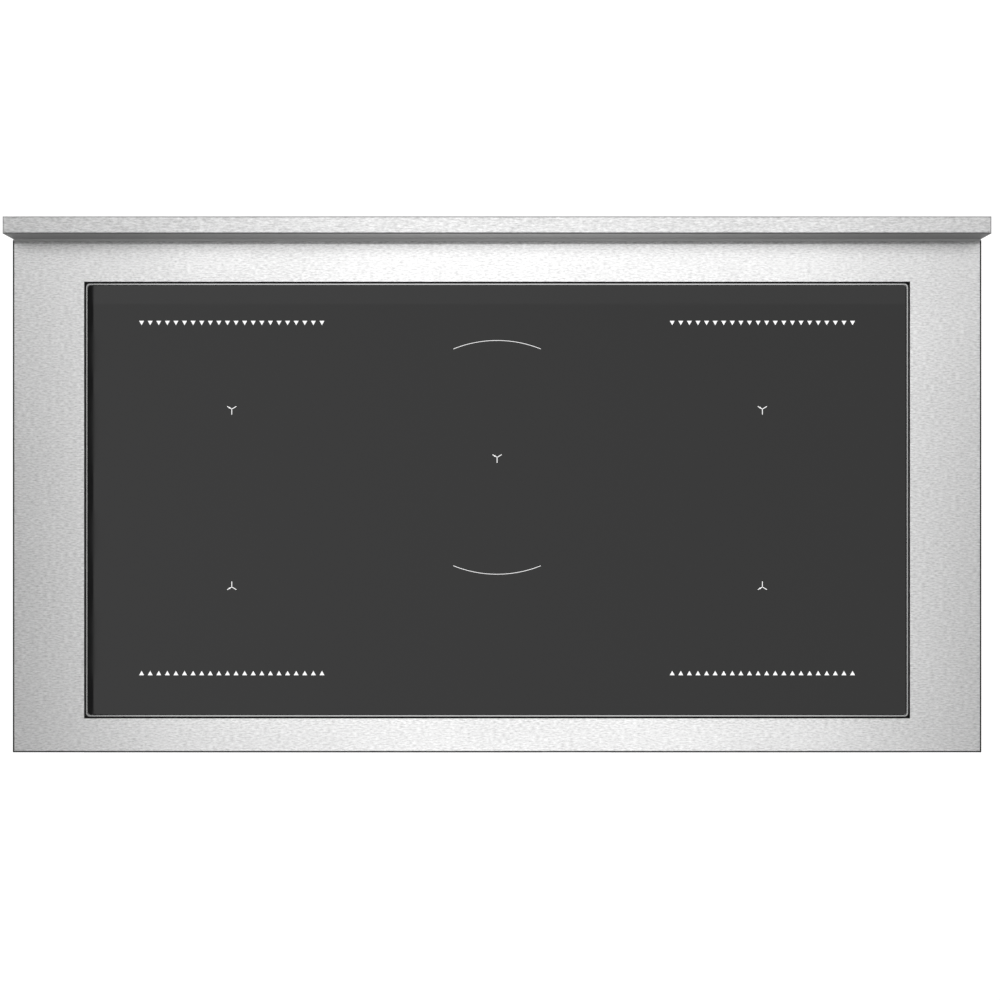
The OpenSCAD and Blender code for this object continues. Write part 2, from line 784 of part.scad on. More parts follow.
// A round knob with a fluted grip, a skirt that lies in its bezel, and the switch's spindle
module knob(x) {
    flutes = 18;
    flute_r = 1.8;
    flute_out = 0.7;
    skirt_top = 6;
    skirt_gap = 0.8;
    pointer_w = 2;
    spindle_l = switch_t - 10;
    translate([x, y_face, panel_z]) rotate([90, 0, 0]) {
        color("silver") difference() {
            union() {
                translate([0, 0, skirt_gap]) cylinder(r = skirt_r, h = skirt_top - 2 * skirt_gap);
                translate([0, 0, skirt_top - skirt_gap])
                    cylinder(r1 = skirt_r, r2 = skirt_r - skirt_gap, h = skirt_gap);
                translate([0, 0, skirt_gap]) cylinder(r = knob_r, h = knob_l - 2 * skirt_gap);
                translate([0, 0, knob_l - skirt_gap])
                    cylinder(r1 = knob_r, r2 = knob_r - skirt_gap, h = skirt_gap);
            }
            for (i = [0:flutes - 1]) rotate((i + 0.5) * 360 / flutes)
                translate([knob_r + flute_out, 0, skirt_top + 2])
                    cylinder(r = flute_r, h = knob_l, $fn = 16);
            translate([-pointer_w / 2, knob_r * 0.25, knob_l - 0.6]) cube([pointer_w, knob_r, over]);
        }
        color("gray") translate([0, 0, -sheet_t - spindle_l])
            cylinder(r = spindle_r, h = sheet_t + spindle_l + over);
    }
}

module clock_display() color("#101010") translate([display_x, y_face, panel_z]) {
    proud = 0.6;
    lens_t = 3;
    module_t = 16;
    upright(-proud, lens_t) rounded(display_w, display_h, 3);
    translate([0, lens_t - proud + module_t / 2 - 0.1, 0])
        cube([display_w - 10, module_t, display_h - 6], center = true);
}

// Ovens

module oven_outline(w, grow) rounded(w + 2 * grow, oven_h + 2 * grow, oven_r + grow);

// A cavity pressed with a flange round its mouth; holes are [x, z, radius] in its back wall
module cavity(x, w, holes) translate([x, 0, oven_z + oven_h / 2]) {
    flange = 12;
    difference() {
        union() {
            upright(y_inside, oven_d + sheet_t) oven_outline(w, sheet_t);
            upright(y_inside, sheet_t) oven_outline(w, flange);
        }
        upright(y_inside - over, oven_d + over) oven_outline(w, 0);
        for (h = holes) translate([h[0], 0, h[1]]) bar_y(h[2], oven_back - over, oven_back + 2 * sheet_t);
    }
}

module main_cavity() color("#26303c")
    cavity(main_x, main_oven_w, [[0, 0, 16], [-lamp_x, lamp_z, lamp_r + touch_gap]]);
module side_cavity() color("#26303c")
    cavity(side_x, side_oven_w, [[-lamp_side_x, lamp_z, lamp_r + touch_gap]]);

module oven_insulation() color("khaki") for (o = ovens) translate([o[0], 0, oven_z + oven_h / 2]) {
    y0 = y_inside + sheet_t;
    side = o[0] == side_x;
    difference() {
        upright(y0, oven_d + insulation_t) oven_outline(o[1], sheet_t + insulation_t);
        upright(y0 - over, oven_d + over) oven_outline(o[1], sheet_t);
        if (!side) bar_y(motor_flange_r + 6, oven_back, oven_back + 2 * insulation_t + over);
        translate([side ? -lamp_side_x : -lamp_x, 0, lamp_z])
            bar_y(lamp_r + 4, oven_back, oven_back + 2 * insulation_t + over);
    }
}

module oven_gaskets() color("#404040") for (o = ovens) translate([o[0], 0, oven_z + oven_h / 2])
    upright(y_frame - door_gap + touch_gap, door_gap - touch_gap) difference() {
        oven_outline(o[1], gasket_inset + gasket_w);
        oven_outline(o[1], gasket_inset);
    }

function level_z(i) = oven_z + level_rise + i * shelf_pitch;

// A wire ladder on one side wall: pairs of rails that a shelf slides between
module ladder(wall_x, side) {
    wire_x = wall_x - side * ladder_in;
    post_x = wire_x + side * ladder_offset;
    post_z0 = level_z(0) - 16;
    post_z1 = level_z(shelf_levels - 1) + 26;
    rail_l = shelf_d + ladder_overhang;
    posts = [first_wire_y + 12, first_wire_y + rail_l / 2, first_wire_y + rail_l - 12];
    for (i = [0:shelf_levels - 1], z = [0, rail_pair]) translate([wire_x, 0, level_z(i) + z])
        bar_y(ladder_wire_r, first_wire_y, first_wire_y + rail_l);
    for (y = posts) translate([post_x, y, post_z0]) cylinder(r = ladder_wire_r, h = post_z1 - post_z0);
    for (y = [posts[0], posts[2]], z = [post_z0 + 6, post_z1 - 6])
        translate([(post_x + wall_x) / 2, y, z]) bar_x(ladder_wire_r, abs(wall_x - post_x));
}

module shelf_supports() color("silver")
    for (o = ovens, side = [-1, 1]) ladder(o[0] + side * o[1] / 2, side);

// A wire shelf whose side wires run between a pair of ladder rails
module wire_shelf(x, w, level) color("silver") {
    half = w / 2 - shelf_in;
    y0 = shelf_y;
    y1 = y0 + shelf_d;
    z = level_z(level) + ladder_wire_r + shelf_wire_r + touch_gap;
    fine_r = 1.4;
    cross_r = 2;
    wire_pitch = 24;
    gaps = floor(2 * half / wire_pitch);
    step = 2 * half / gaps;
    translate([x, 0, z]) {
        for (s = [-1, 1]) translate([s * half, 0, 0]) bar_y(shelf_wire_r, y0, y1);
        for (y = [y0, y1]) translate([0, y, 0]) bar_x(shelf_wire_r, 2 * half);
        for (s = [-1, 1], y = [y0, y1]) translate([s * half, y, 0]) sphere(shelf_wire_r);
        for (y = [y0 + shelf_d / 3, y0 + 2 * shelf_d / 3])
            translate([0, y, -fine_r]) bar_x(cross_r, 2 * half - shelf_wire_r);
        for (i = [1:gaps - 1]) translate([i * step - half, 0, fine_r]) bar_y(fine_r, y0, y1);
    }
}

module main_shelf() wire_shelf(main_x, main_oven_w, 2);
module side_shelf() wire_shelf(side_x, side_oven_w, 2);

module drip_tray() color("#20262e") {
    side_gap = 7;
    rim = 4;
    rim_t = 1.6;
    rim_r = 10;
    wall = 1.2;
    corner = 18;
    w = main_oven_w - 2 * (ladder_in + ladder_wire_r + side_gap);
    d = shelf_d - 2 * rim;
    rim_w = main_oven_w - 2 * (shelf_in - shelf_wire_r);
    y_mid = shelf_y + shelf_d / 2;
    z = level_z(0) + ladder_wire_r + touch_gap;
    translate([main_x, y_mid, z]) {
        difference() {
            translate([0, 0, rim_t - tray_h]) linear_extrude(tray_h) rounded(w, d, corner);
            translate([0, 0, rim_t - tray_h + wall]) linear_extrude(tray_h)
                rounded(w - 2 * wall, d - 2 * wall, corner - wall);
        }
        linear_extrude(rim_t) difference() {
            rounded(rim_w, shelf_d, rim_r);
            rounded(w - 2 * wall, d - 2 * wall, corner - wall);
        }
    }
}

// A tubular element bent to and fro; its two ends run into the back wall
module grill_element(x, runs, pitch) translate([x, 0, oven_top - grill_drop]) {
    y0 = y_inside + grill_front;
    y1 = oven_back - grill_rear;
    half = (runs - 1) / 2;
    hanger_r = 2;
    for (i = [0:runs - 1]) translate([(i - half) * pitch, 0, 0])
        bar_y(element_r, y0, i == 0 || i == runs - 1 ? oven_back : y1);
    for (i = [0:runs - 2]) translate([(i + 0.5 - half) * pitch, i % 2 == 0 ? y0 : y1, 0])
        rotate(i % 2 == 0 ? 180 : 0) rotate_extrude(angle = 180) translate([pitch / 2, 0]) circle(element_r);
    for (i = [1, runs - 2]) translate([(i - half) * pitch, (y0 + y1) / 2, 0])
        cylinder(r = hanger_r, h = grill_drop);
}

// A tubular ring round the fan, open at the top, on two ferrules from the back wall
module ring_element() translate([main_x, fan_y, fan_z]) {
    ring_r = fan_r + 15;
    opening = 16;
    ferrule_r = element_r + 1.5;
    rotate([90, 0, 0]) rotate(90 + opening) rotate_extrude(angle = 360 - 2 * opening)
        translate([ring_r, 0]) circle(element_r);
    for (s = [-1, 1]) rotate([0, s * opening, 0]) translate([0, 0, ring_r])
        bar_y(ferrule_r, -ferrule_r, fan_chamber / 2);
}

module heating_elements() color("#5a5048") {
    grill_element(main_x, 8, main_grill_pitch);
    grill_element(side_x, 4, side_grill_pitch);
    ring_element();
}

module fan_cover() color("#26303c") translate([main_x, oven_back - fan_chamber, fan_z]) difference() {
    hole_r = 5;
    hole_pitch = 16;
    slot_w = 14;
    slot_h = 18;
    slot_inset = 22;
    slot_pitch = 28;
    folded_pan(cover_w, cover_h, fan_chamber, sheet_t, 4);
    for (ring = [1:3], i = [0:6 * ring - 1]) rotate([0, i * 60 / ring, 0])
        translate([hole_pitch * ring, 0, 0]) bar_y(hole_r, -over, 2 * sheet_t);
    for (x = [-1, 1], z = [-4:4]) translate([x * (cover_w / 2 - slot_inset), 0, z * slot_pitch])
        cube([slot_w, 4 * sheet_t, slot_h], center = true);
}

module fan_motor() color("gray") translate([main_x, oven_back + sheet_t, fan_z]) difference() {
    union() {
        bar_y(motor_flange_r, 0, motor_flange_t);
        bar_y(motor_r, 0, motor_l);
        bar_y(motor_boss_r, 0, motor_l + motor_boss_l);
    }
    bar_y(fan_shaft_r + running_gap, -over, motor_l - 6);
}

module convection_fan() color("silver") translate([main_x, fan_y, fan_z]) {
    blades = 10;
    blade_w = 26;
    back_t = 1.2;
    back_y = fan_chamber / 2 - 9;
    hub_r = 11;
    bar_y(fan_shaft_r, -blade_w / 2, fan_chamber / 2 + sheet_t + motor_l - 8);
    bar_y(hub_r, back_y - blade_w / 2, back_y);
    bar_y(fan_r, back_y - back_t, back_y);
    for (i = [0:blades - 1]) rotate([0, i * 360 / blades, 0]) translate([fan_r * 0.45, 0, 0])
        rotate([0, -18, 0]) translate([0, back_y - blade_w, -0.8]) cube([fan_r * 0.5, blade_w, 1.6]);
}

module oven_lamps() color("white") for (p = [[main_x - lamp_x, 0], [side_x - lamp_side_x, 0]])
    translate([p[0], oven_back, oven_z + oven_h / 2 + lamp_z]) {
        rotate([90, 0, 0]) rotate_extrude() polygon(concat(
            [[0, 0], [lamp_r + lamp_rim, 0], [lamp_r + lamp_rim, lamp_rim_t]],
            [for (a = [0:15:90]) [(lamp_r + lamp_rim / 2) * cos(a), lamp_rim_t + lamp_dome * sin(a)]]
        ));
        bar_y(lamp_r, 0, lamp_socket_l);
    }

// Doors

// A lug screwed to the front frame, bored for a door's hinge pin
module hinge_bracket() {
    plate_w = 26;
    plate_h = 34;
    plate_t = 1.6;
    translate([-plate_w / 2, y_frame - plate_t, hinge_z - plate_h / 2]) cube([plate_w, plate_t, plate_h]);
    difference() {
        union() {
            translate([0, y_hinge, hinge_z]) bar_x(lug_r, lug_w);
            translate([-lug_w / 2, y_hinge, hinge_z - lug_r])
                cube([lug_w, hinge_ahead - plate_t / 2, 2 * lug_r]);
        }
        translate([0, y_hinge, hinge_z]) bar_x(hinge_pin_r + running_gap, lug_w + 2 * over);
    }
}

module at_hinges(x, w) for (s = [-1, 1]) translate([x + s * (w / 2 - hinge_inset), 0, 0]) children();

module hinge_brackets() color("gray") {
    at_hinges(main_x, main_door_w) hinge_bracket();
    at_hinges(side_x, side_door_w) hinge_bracket();
}

// The door's half of a hinge: a channel inside the skin whose cheeks carry the pin
module door_hinge() {
    inner = lug_w / 2 + touch_gap;
    height = 46;
    front = y_face + sheet_t;
    back = y_hinge + hinge_pin_r + 2;
    z0 = door_bottom + max(fold_r, sheet_t + touch_gap);
    for (s = [-1, 1]) translate([s * (inner + cheek_t / 2) - cheek_t / 2, front, z0])
        cube([cheek_t, back - front, height]);
    translate([-inner - cheek_t, front, z0 + height / 2])
        cube([2 * (inner + cheek_t), cheek_t, height / 2]);
    translate([0, y_hinge, hinge_z]) bar_x(hinge_pin_r, 2 * (inner + cheek_t) + 3);
}

module main_door_hinges() color("gray") at_hinges(main_x, main_door_w) door_hinge();
module side_door_hinges() color("gray") at_hinges(side_x, side_door_w) door_hinge();

// A folded steel door front with a window, and the inner rim that its back pane lies on
module door_skin(x, w, window_w) color("silver") translate([x, 0, 0]) {
    depth = door_t - pane_t / 2;
    rim_y = y_face + door_t - pane_t - sheet_t;
    rim_border = 34;
    slot_w = lug_w + 2 * (cheek_t + 2.5);
    difference() {
        union() {
            translate([0, y_face, door_bottom + door_h / 2]) folded_pan(w, door_h, depth, sheet_t, fold_r);
            translate([-w / 2 + sheet_t / 2, rim_y, door_bottom + glass_lift])
                cube([w - sheet_t, sheet_t, door_h - glass_lift - sheet_t / 2]);
        }
        translate([0, 0, window_z]) {
            upright(y_face - over, 2 * over + sheet_t) rounded(window_w, window_h, 10);
            upright(rim_y - over, 2 * over + sheet_t)
                rounded(w - 2 * rim_border, window_h + 2 * rim_border, 10);
        }
        for (s = [-1, 1])
            translate([s * (w / 2 - hinge_inset) - slot_w / 2, y_hinge - lug_r - 2, door_bottom - over])
                cube([slot_w, door_t, sheet_t + 2 * over]);
    }
}

module main_door_skin() door_skin(main_x, main_door_w, main_window_w);
module side_door_skin() door_skin(side_x, side_door_w, side_window_w);

// The window pane behind the skin and the large pane that faces the oven
module door_glass(x, w, window_w) color("#202428", 0.6) {
    border = 20;
    edge_gap = 0.5;
    inner_w = w - 2 * (sheet_t + edge_gap);
    inner_h = door_h - glass_lift - sheet_t - edge_gap;
    translate([x, 0, window_z])
        upright(y_face + sheet_t, pane_t) rounded(window_w + 2 * border, window_h + 2 * border, 6);
    translate([x, 0, door_bottom + glass_lift + inner_h / 2])
        upright(y_face + door_t - pane_t, pane_t) rounded(inner_w, inner_h, 4);
}

module main_door_glass() door_glass(main_x, main_door_w, main_window_w);
module side_door_glass() door_glass(side_x, side_door_w, side_window_w);

// A round bar on two posts
module bar_handle(x, z, w) color("silver") {
    length = w - 2 * handle_end;
    chamfer = 2;
    translate([x, handle_y, z]) {
        bar_x(handle_r, length - 2 * chamfer);
        for (s = [0, 180]) rotate([0, 90 + s, 0]) translate([0, 0, length / 2 - chamfer])
            cylinder(r1 = handle_r, r2 = handle_r - chamfer, h = chamfer);
        for (s = [-1, 1]) translate([s * (length / 2 - handle_post_inset), 0, 0]) {
            bar_y(handle_post_r, 0, y_face - handle_y);
            bar_y(handle_post_r + handle_foot, y_face - handle_y - handle_foot, y_face - handle_y);
        }
    }
}

module main_door_handle() bar_handle(main_x, handle_z, main_door_w);
module side_door_handle() bar_handle(side_x, handle_z, side_door_w);

// Drawer

module drawer_front() color("silver") translate([0, y_face, drawer_bottom + drawer_front_h / 2])
    folded_pan(drawer_w, drawer_front_h, door_t, sheet_t, fold_r);

module drawer_handle() bar_handle(0, drawer_handle_z, drawer_w);

module drawer_box() color("lightgray") {
    y0 = y_face + door_t;
    plate_w = drawer_w - 2 * sheet_t;
    translate([-plate_w / 2, y0 - sheet_t, drawer_bottom + sheet_t])
        cube([plate_w, sheet_t, drawer_front_h - 2 * sheet_t]);
    difference() {
        translate([-box_half, y0, drawer_box_z]) cube([2 * box_half, drawer_d, drawer_box_h]);
        translate([sheet_t - box_half, y0 + sheet_t, drawer_box_z + sheet_t])
            cube([2 * (box_half - sheet_t), drawer_d - 2 * sheet_t, drawer_box_h]);
    }
    for (s = [-1, 1]) translate([s * (box_half + rail_w / 2) - rail_w / 2, y_inside, rail_z - rail_h / 2])
        cube([rail_w, drawer_back - y_inside, rail_h]);
}

// Fixed channels on the side panels that the drawer's rails run in
module drawer_runners() color("lightgray") {
    lip_x = box_half + 1.5;
    wall_x = body_w / 2 - sheet_t;
    y0 = y_inside + sheet_t;
    length = drawer_back - y0 + 10;
    for (s = [-1, 1]) scale([s, 1, 1]) {
        for (z = [rail_z + rail_h / 2 + touch_gap, rail_z - rail_h / 2 - touch_gap - sheet_t])
            translate([lip_x, y0, z]) cube([wall_x - lip_x, length, sheet_t]);
        translate([rail_x + touch_gap, y0, rail_z - rail_h / 2 - touch_gap - sheet_t / 2])
            cube([sheet_t, length, rail_h + 2 * touch_gap + sheet_t]);
    }
}

base_frame();
side_panel_left();
side_panel_right();
back_panel();
front_frame();
plinth();
worktop();
upstand();
hob_glass();
glass_trim();
glass_seal();
hob_pan();
induction_coils();
coil_formers();
power_boards();
hob_fan_frame();
hob_fan();
terminal_box();
control_panel();
knob_bezels();
rotary_switches();
clock_display();
knob(hob_knobs[0]);  // knob_front_left
knob(hob_knobs[1]);  // knob_rear_left
knob(hob_knobs[2]);  // knob_centre
knob(hob_knobs[3]);  // knob_rear_right
knob(hob_knobs[4]);  // knob_front_right
knob(oven_knobs[0]);  // knob_main_function
knob(oven_knobs[1]);  // knob_main_temperature
knob(oven_knobs[2]);  // knob_side_oven
main_cavity();
side_cavity();
oven_insulation();
oven_gaskets();
shelf_supports();
heating_elements();
fan_cover();
fan_motor();
convection_fan();
oven_lamps();
main_shelf();
drip_tray();
side_shelf();
hinge_brackets();
main_door_skin();
main_door_glass();
main_door_handle();
main_door_hinges();
side_door_skin();
side_door_glass();
side_door_handle();
side_door_hinges();
drawer_front();
drawer_handle();
drawer_box();
drawer_runners();
foot(-leg_x, leg_front_y);  // foot_front_left
foot(leg_x, leg_front_y);  // foot_front_right
foot(-leg_x, leg_rear_y);  // foot_rear_left
foot(leg_x, leg_rear_y);  // foot_rear_right
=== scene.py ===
"""The looks of a steel range cooker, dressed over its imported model. Lengths are in metres."""
import json
import math

import bmesh
import bpy
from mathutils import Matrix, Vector


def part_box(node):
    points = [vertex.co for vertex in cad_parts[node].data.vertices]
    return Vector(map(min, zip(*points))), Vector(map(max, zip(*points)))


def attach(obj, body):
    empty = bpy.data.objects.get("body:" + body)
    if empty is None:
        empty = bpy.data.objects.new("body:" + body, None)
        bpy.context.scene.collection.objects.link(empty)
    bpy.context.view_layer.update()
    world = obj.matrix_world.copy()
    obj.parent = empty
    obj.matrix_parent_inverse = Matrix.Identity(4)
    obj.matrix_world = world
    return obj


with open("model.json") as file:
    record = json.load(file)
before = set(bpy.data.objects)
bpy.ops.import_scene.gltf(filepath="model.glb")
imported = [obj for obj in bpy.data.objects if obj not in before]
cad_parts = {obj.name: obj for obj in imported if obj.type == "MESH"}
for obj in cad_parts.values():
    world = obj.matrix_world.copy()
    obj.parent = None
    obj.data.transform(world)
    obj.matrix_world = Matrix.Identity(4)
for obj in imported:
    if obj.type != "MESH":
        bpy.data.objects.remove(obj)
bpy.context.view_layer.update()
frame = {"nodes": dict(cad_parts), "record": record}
scene = bpy.context.scene

MM = 0.001

# Sizes of the model that the frame's boxes don't give
WINDOW_HEIGHT = 215 * MM
WINDOW_WIDTHS = {"main_door": 440 * MM, "side_door": 262 * MM}
WINDOW_CORNER = 10 * MM
WINDOW_Z = 472.5 * MM
PANE_THICKNESS = 4 * MM
KNOB_RADIUS = 19 * MM
POINTER_SPAN = (KNOB_RADIUS * 0.28, KNOB_RADIUS * 0.96)
POINTER_WIDTH = 1.7 * MM
POINTER_DEPTH = 0.6 * MM
POINTER_THICKNESS = POINTER_DEPTH * 0.8
HOB_KNOBS = ["knob_front_left", "knob_rear_left", "knob_centre", "knob_rear_right", "knob_front_right"]
OVEN_KNOBS = ["knob_main_function", "knob_main_temperature", "knob_side_oven"]

# Marks on the hob glass
ZONE_X = 300.1 * MM
COIL_Y = 100.6 * MM
ROW_Y = 198 * MM
ZONES_BEHIND_MIDDLE = 2.3 * MM
ROUND_ZONE_BEHIND_MIDDLE = 48.3 * MM
ROUND_ZONE_RADIUS = 132.2 * MM
ROUND_ZONE_HALF_ANGLE = 22
ARC_STROKE = 0.6 * MM
TRIANGLES_PER_ROW = 22
TRIANGLE_PITCH = 9.715 * MM
TRIANGLE_WIDTH = 5.55 * MM
TRIANGLE_HEIGHT = 4.95 * MM
STAR_STROKE = 0.82 * MM
STAR_STEM = 6.2 * MM
STAR_ARM = (5.15 * MM, 3.1 * MM)
STAR_DOT = 0.88 * MM
INK_THICKNESS = 0.05 * MM
STAR_DOT_THICKNESS = INK_THICKNESS * 1.4

# Marks round the knobs
TICK_RADII = (30.6 * MM, 32.6 * MM)
TICK_WIDTH = 0.45 * MM
DIAL_RADIUS = 38 * MM
DIGIT_SIZE = 7.4 * MM
DEGREES_SIZE = 6 * MM
LETTER_WEIGHT = 0.005
SYMBOL_SIZE = 8 * MM
SYMBOL_STROKE = 0.55 * MM
HOB_STEP = 30
HOB_LEVELS = 10
ZONE_SYMBOL_ANGLE = 315
ZONE_SYMBOL_SIZE = (12 * MM, 7.4 * MM)
ZONE_SPREAD = (0.3, 0.24)
ZONE_SPOT = 1.15 * MM
OTHER_ZONE_SPOT = 0.4 * MM
OVEN_STEP = 45
OVEN_SYMBOL_RADIUS = DIAL_RADIUS + 1 * MM
SYMBOL_INSET = 1.6 * MM
BULB_RADIUS = 2.2 * MM
BULB_RAISED = 0.8 * MM
BULB_BASE = (1 * MM, 2.4 * MM)
GRILL_BENDS = 6
GRILL_DROP = 1.4 * MM
GRILL_STROKE = SYMBOL_STROKE * 0.8
FAN_LOWERED = 0.3 * MM
BLADE_RADIUS = 0.95 * MM
BLADE_WIDTH = 1.1 * MM
BLADE_ANGLE = 46
OVEN_SYMBOLS = ("lamp", "top bottom", "bottom", "grill", "grill fan", "fan", "top bottom fan")
HOTTEST = 250
HEAT_PER_TICK = 10
HEAT_PER_NUMBER = 50

# The clock. Slots are in pitches from the middle of the time
CLOCK_TIME = "1200"
DIGIT_SLOTS = (-1.75, -0.75, 0.75, 1.75)
DIGIT_WIDTH = 9.5 * MM
DIGIT_HEIGHT = 19 * MM
DIGIT_PITCH = 16 * MM
DIGIT_BAR = 1.8 * MM
DIGIT_GAP = 0.9 * MM
COLON_DOT = 1.1 * MM
COLON_RAISED = DIGIT_HEIGHT * 0.2
TIME_RAISED = 5 * MM
FIELDS_LOWERED = 14 * MM
FIELD_X = 40 * MM
FIELD_REACH = 2.6 * MM
CLOCK_HANDS = ((0, FIELD_REACH * 0.65), (FIELD_REACH * 0.5, 0))
SIGN_STROKE = 0.7 * MM
CLOCK_STROKE = 0.6 * MM
SEGMENTS = {"0": "abcdef", "1": "bc", "2": "abged"}

# The print behind the door glass. Its first row of dots is in pitches from the border
PRINT_BORDER = 15 * MM
PRINT_OVERLAP = 3 * MM
PRINT_DOT_PITCH = 4.2 * MM
PRINT_FIRST_ROW = 0.55
PRINT_DOTS = (1.4 * MM, 1.05 * MM, 0.7 * MM)

# The weld behind the worktop
SEAM_DEPTH = 1.2 * MM
SEAM_WIDTH = 3.6 * MM
SEAM_THICKNESS = 1 * MM

# Screws: radii of the heads, and their height, profile and cross as shares of the radius and the height
SHEET_SCREW = 3.5 * MM
PAN_SCREW = 4 * MM
SCREW_HEIGHT = 0.55
SCREW_PROFILE = ((1, 0), (1, 0.35), (0.86, 0.75), (0.55, 1))
SCREW_SLOT = 0.22
SHARP_ANGLE = 35
SCREW_INSET = 9 * MM
COVER_SCREW_INSET = 8 * MM
BACK_SCREWS_ACROSS = 7
BACK_SCREWS_UP = 6
SIDE_SCREWS = 4
SIDE_SCREW_BOTTOM = 3 * SCREW_INSET
SIDE_SCREW_TOP = 8 * SCREW_INSET
PLINTH_SCREW_SHARE = 0.9

# Steel: its colours, how wide and dark the painted shade on its edges is, and how dull its folds look
STEEL = (0.86, 0.86, 0.86)
UPSTAND_STEEL = (0.725, 0.725, 0.725)
# Painted shade on the upstand's front: its level in the middle and at the ends, and the height and level of
# the dark band under its top edge
UPSTAND_MIDDLE_PAINTED_SHADE = 0.38
UPSTAND_END_PAINTED_SHADE = 0.75
UPSTAND_PAINTED_LINE = 8 * MM
UPSTAND_PAINTED_LINE_SHADE = 0.95
FOLD_REACH = 8 * MM
# The painted dark lines along the worktop's side and front folds: their widths and their grey
SIDE_PAINTED_LINE = 2.0 * MM
FRONT_PAINTED_LINE = 1.6 * MM
EDGE_PAINTED_SHADE_GREY = 0.02
FOLD_DULLNESS = 0.3

# Brush lines: their mean length and breadth in mm, and between which levels they vary the colour
GRAIN = (20, 0.6)
GRAIN_SHADES = (0.78, 1.2)
GROUND_GRAIN = (4.8, 1.5)
GROUND_SHADES = (0.6, 1.37)

# Where most values of a noise texture lie, for roughness and for shades
NOISE_SPAN = (0.3, 0.7)
SHADE_SPAN = (0.25, 0.75)

# Painted shade: the hob glass is painted darker from this far left of the middle to as far right of it
GLASS_PAINTED_SHADE_REACH = 0.46

# How far a surface's direction has to lean to count as one that faces this way
LEVEL = 0.7
UPWARD = 0.1
BACKWARD = 0.05
FORWARD = -0.8

# The studio: each lamp is (left, right, front, rear, height above the worktop, radiance)
LAMPS = {
    "softbox": (-1.024, 1.10, -1.7, 1.6, 3.0, 1.22),
    "rear_lamp": (-1.024, 1.10, 0.49, 1.9, 2.98, 0.18),
    "back_lamp": (-1.024, 1.10, 0.64, 1.9, 2.96, 0.25),
    "left_lamp": (-2.4, -1.2, 0.66, 1.9, 2.94, 0.98),
    "right_lamp": (1.14, 2.5, 0.66, 1.9, 2.92, 0.96),
}
CEILING_ABOVE = 3.05
CEILING_HALF = 4
CEILING_LEVEL = 0.09
FLOOR_HALF = 12
FLOOR_PALE = 0.85
FLOOR_FAINT = 0.30
FLOOR_GLOW = 0.80
WORLD_LEVEL = 0.9
REFLECTED_LEVEL = 0.45

# The camera looks straight down, as in the photograph
WORKTOP_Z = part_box("worktop")[1].z
CAMERA_ABOVE = 2.431
CAMERA_X = 3.3 * MM
CAMERA_Y = -3.45 * MM
METRES_PER_PIXEL = 1.1308 * MM
PHOTO_PIXELS = 1000
SENSOR_MM = 36
FAR_CLIP = 50


def link(obj):
    """Puts a new object in the scene."""
    scene.collection.objects.link(obj)
    return obj


def make_camera():
    """The photograph's viewpoint: straight above the hob."""
    data = bpy.data.cameras.new("camera")
    data.sensor_width = SENSOR_MM
    data.lens = SENSOR_MM * CAMERA_ABOVE / (PHOTO_PIXELS * METRES_PER_PIXEL)
    data.clip_end = FAR_CLIP
    camera = link(bpy.data.objects.new("camera", data))
    camera.location = (CAMERA_X, CAMERA_Y, WORKTOP_Z + CAMERA_ABOVE)
    scene.camera = camera


# Node helpers

def add_node(tree, kind, inputs=None, **settings):
    """Adds a node. An input is either a plain value or another node's output."""
    node = tree.nodes.new(kind)
    for key, value in settings.items():
        setattr(node, key, value)
    for key, value in (inputs or {}).items():
        if isinstance(value, bpy.types.NodeSocket):
            tree.links.new(value, node.inputs[key])
        else:
            node.inputs[key].default_value = value
    return node


def grey(value):
    """A neutral colour."""
    return (value, value, value, 1)


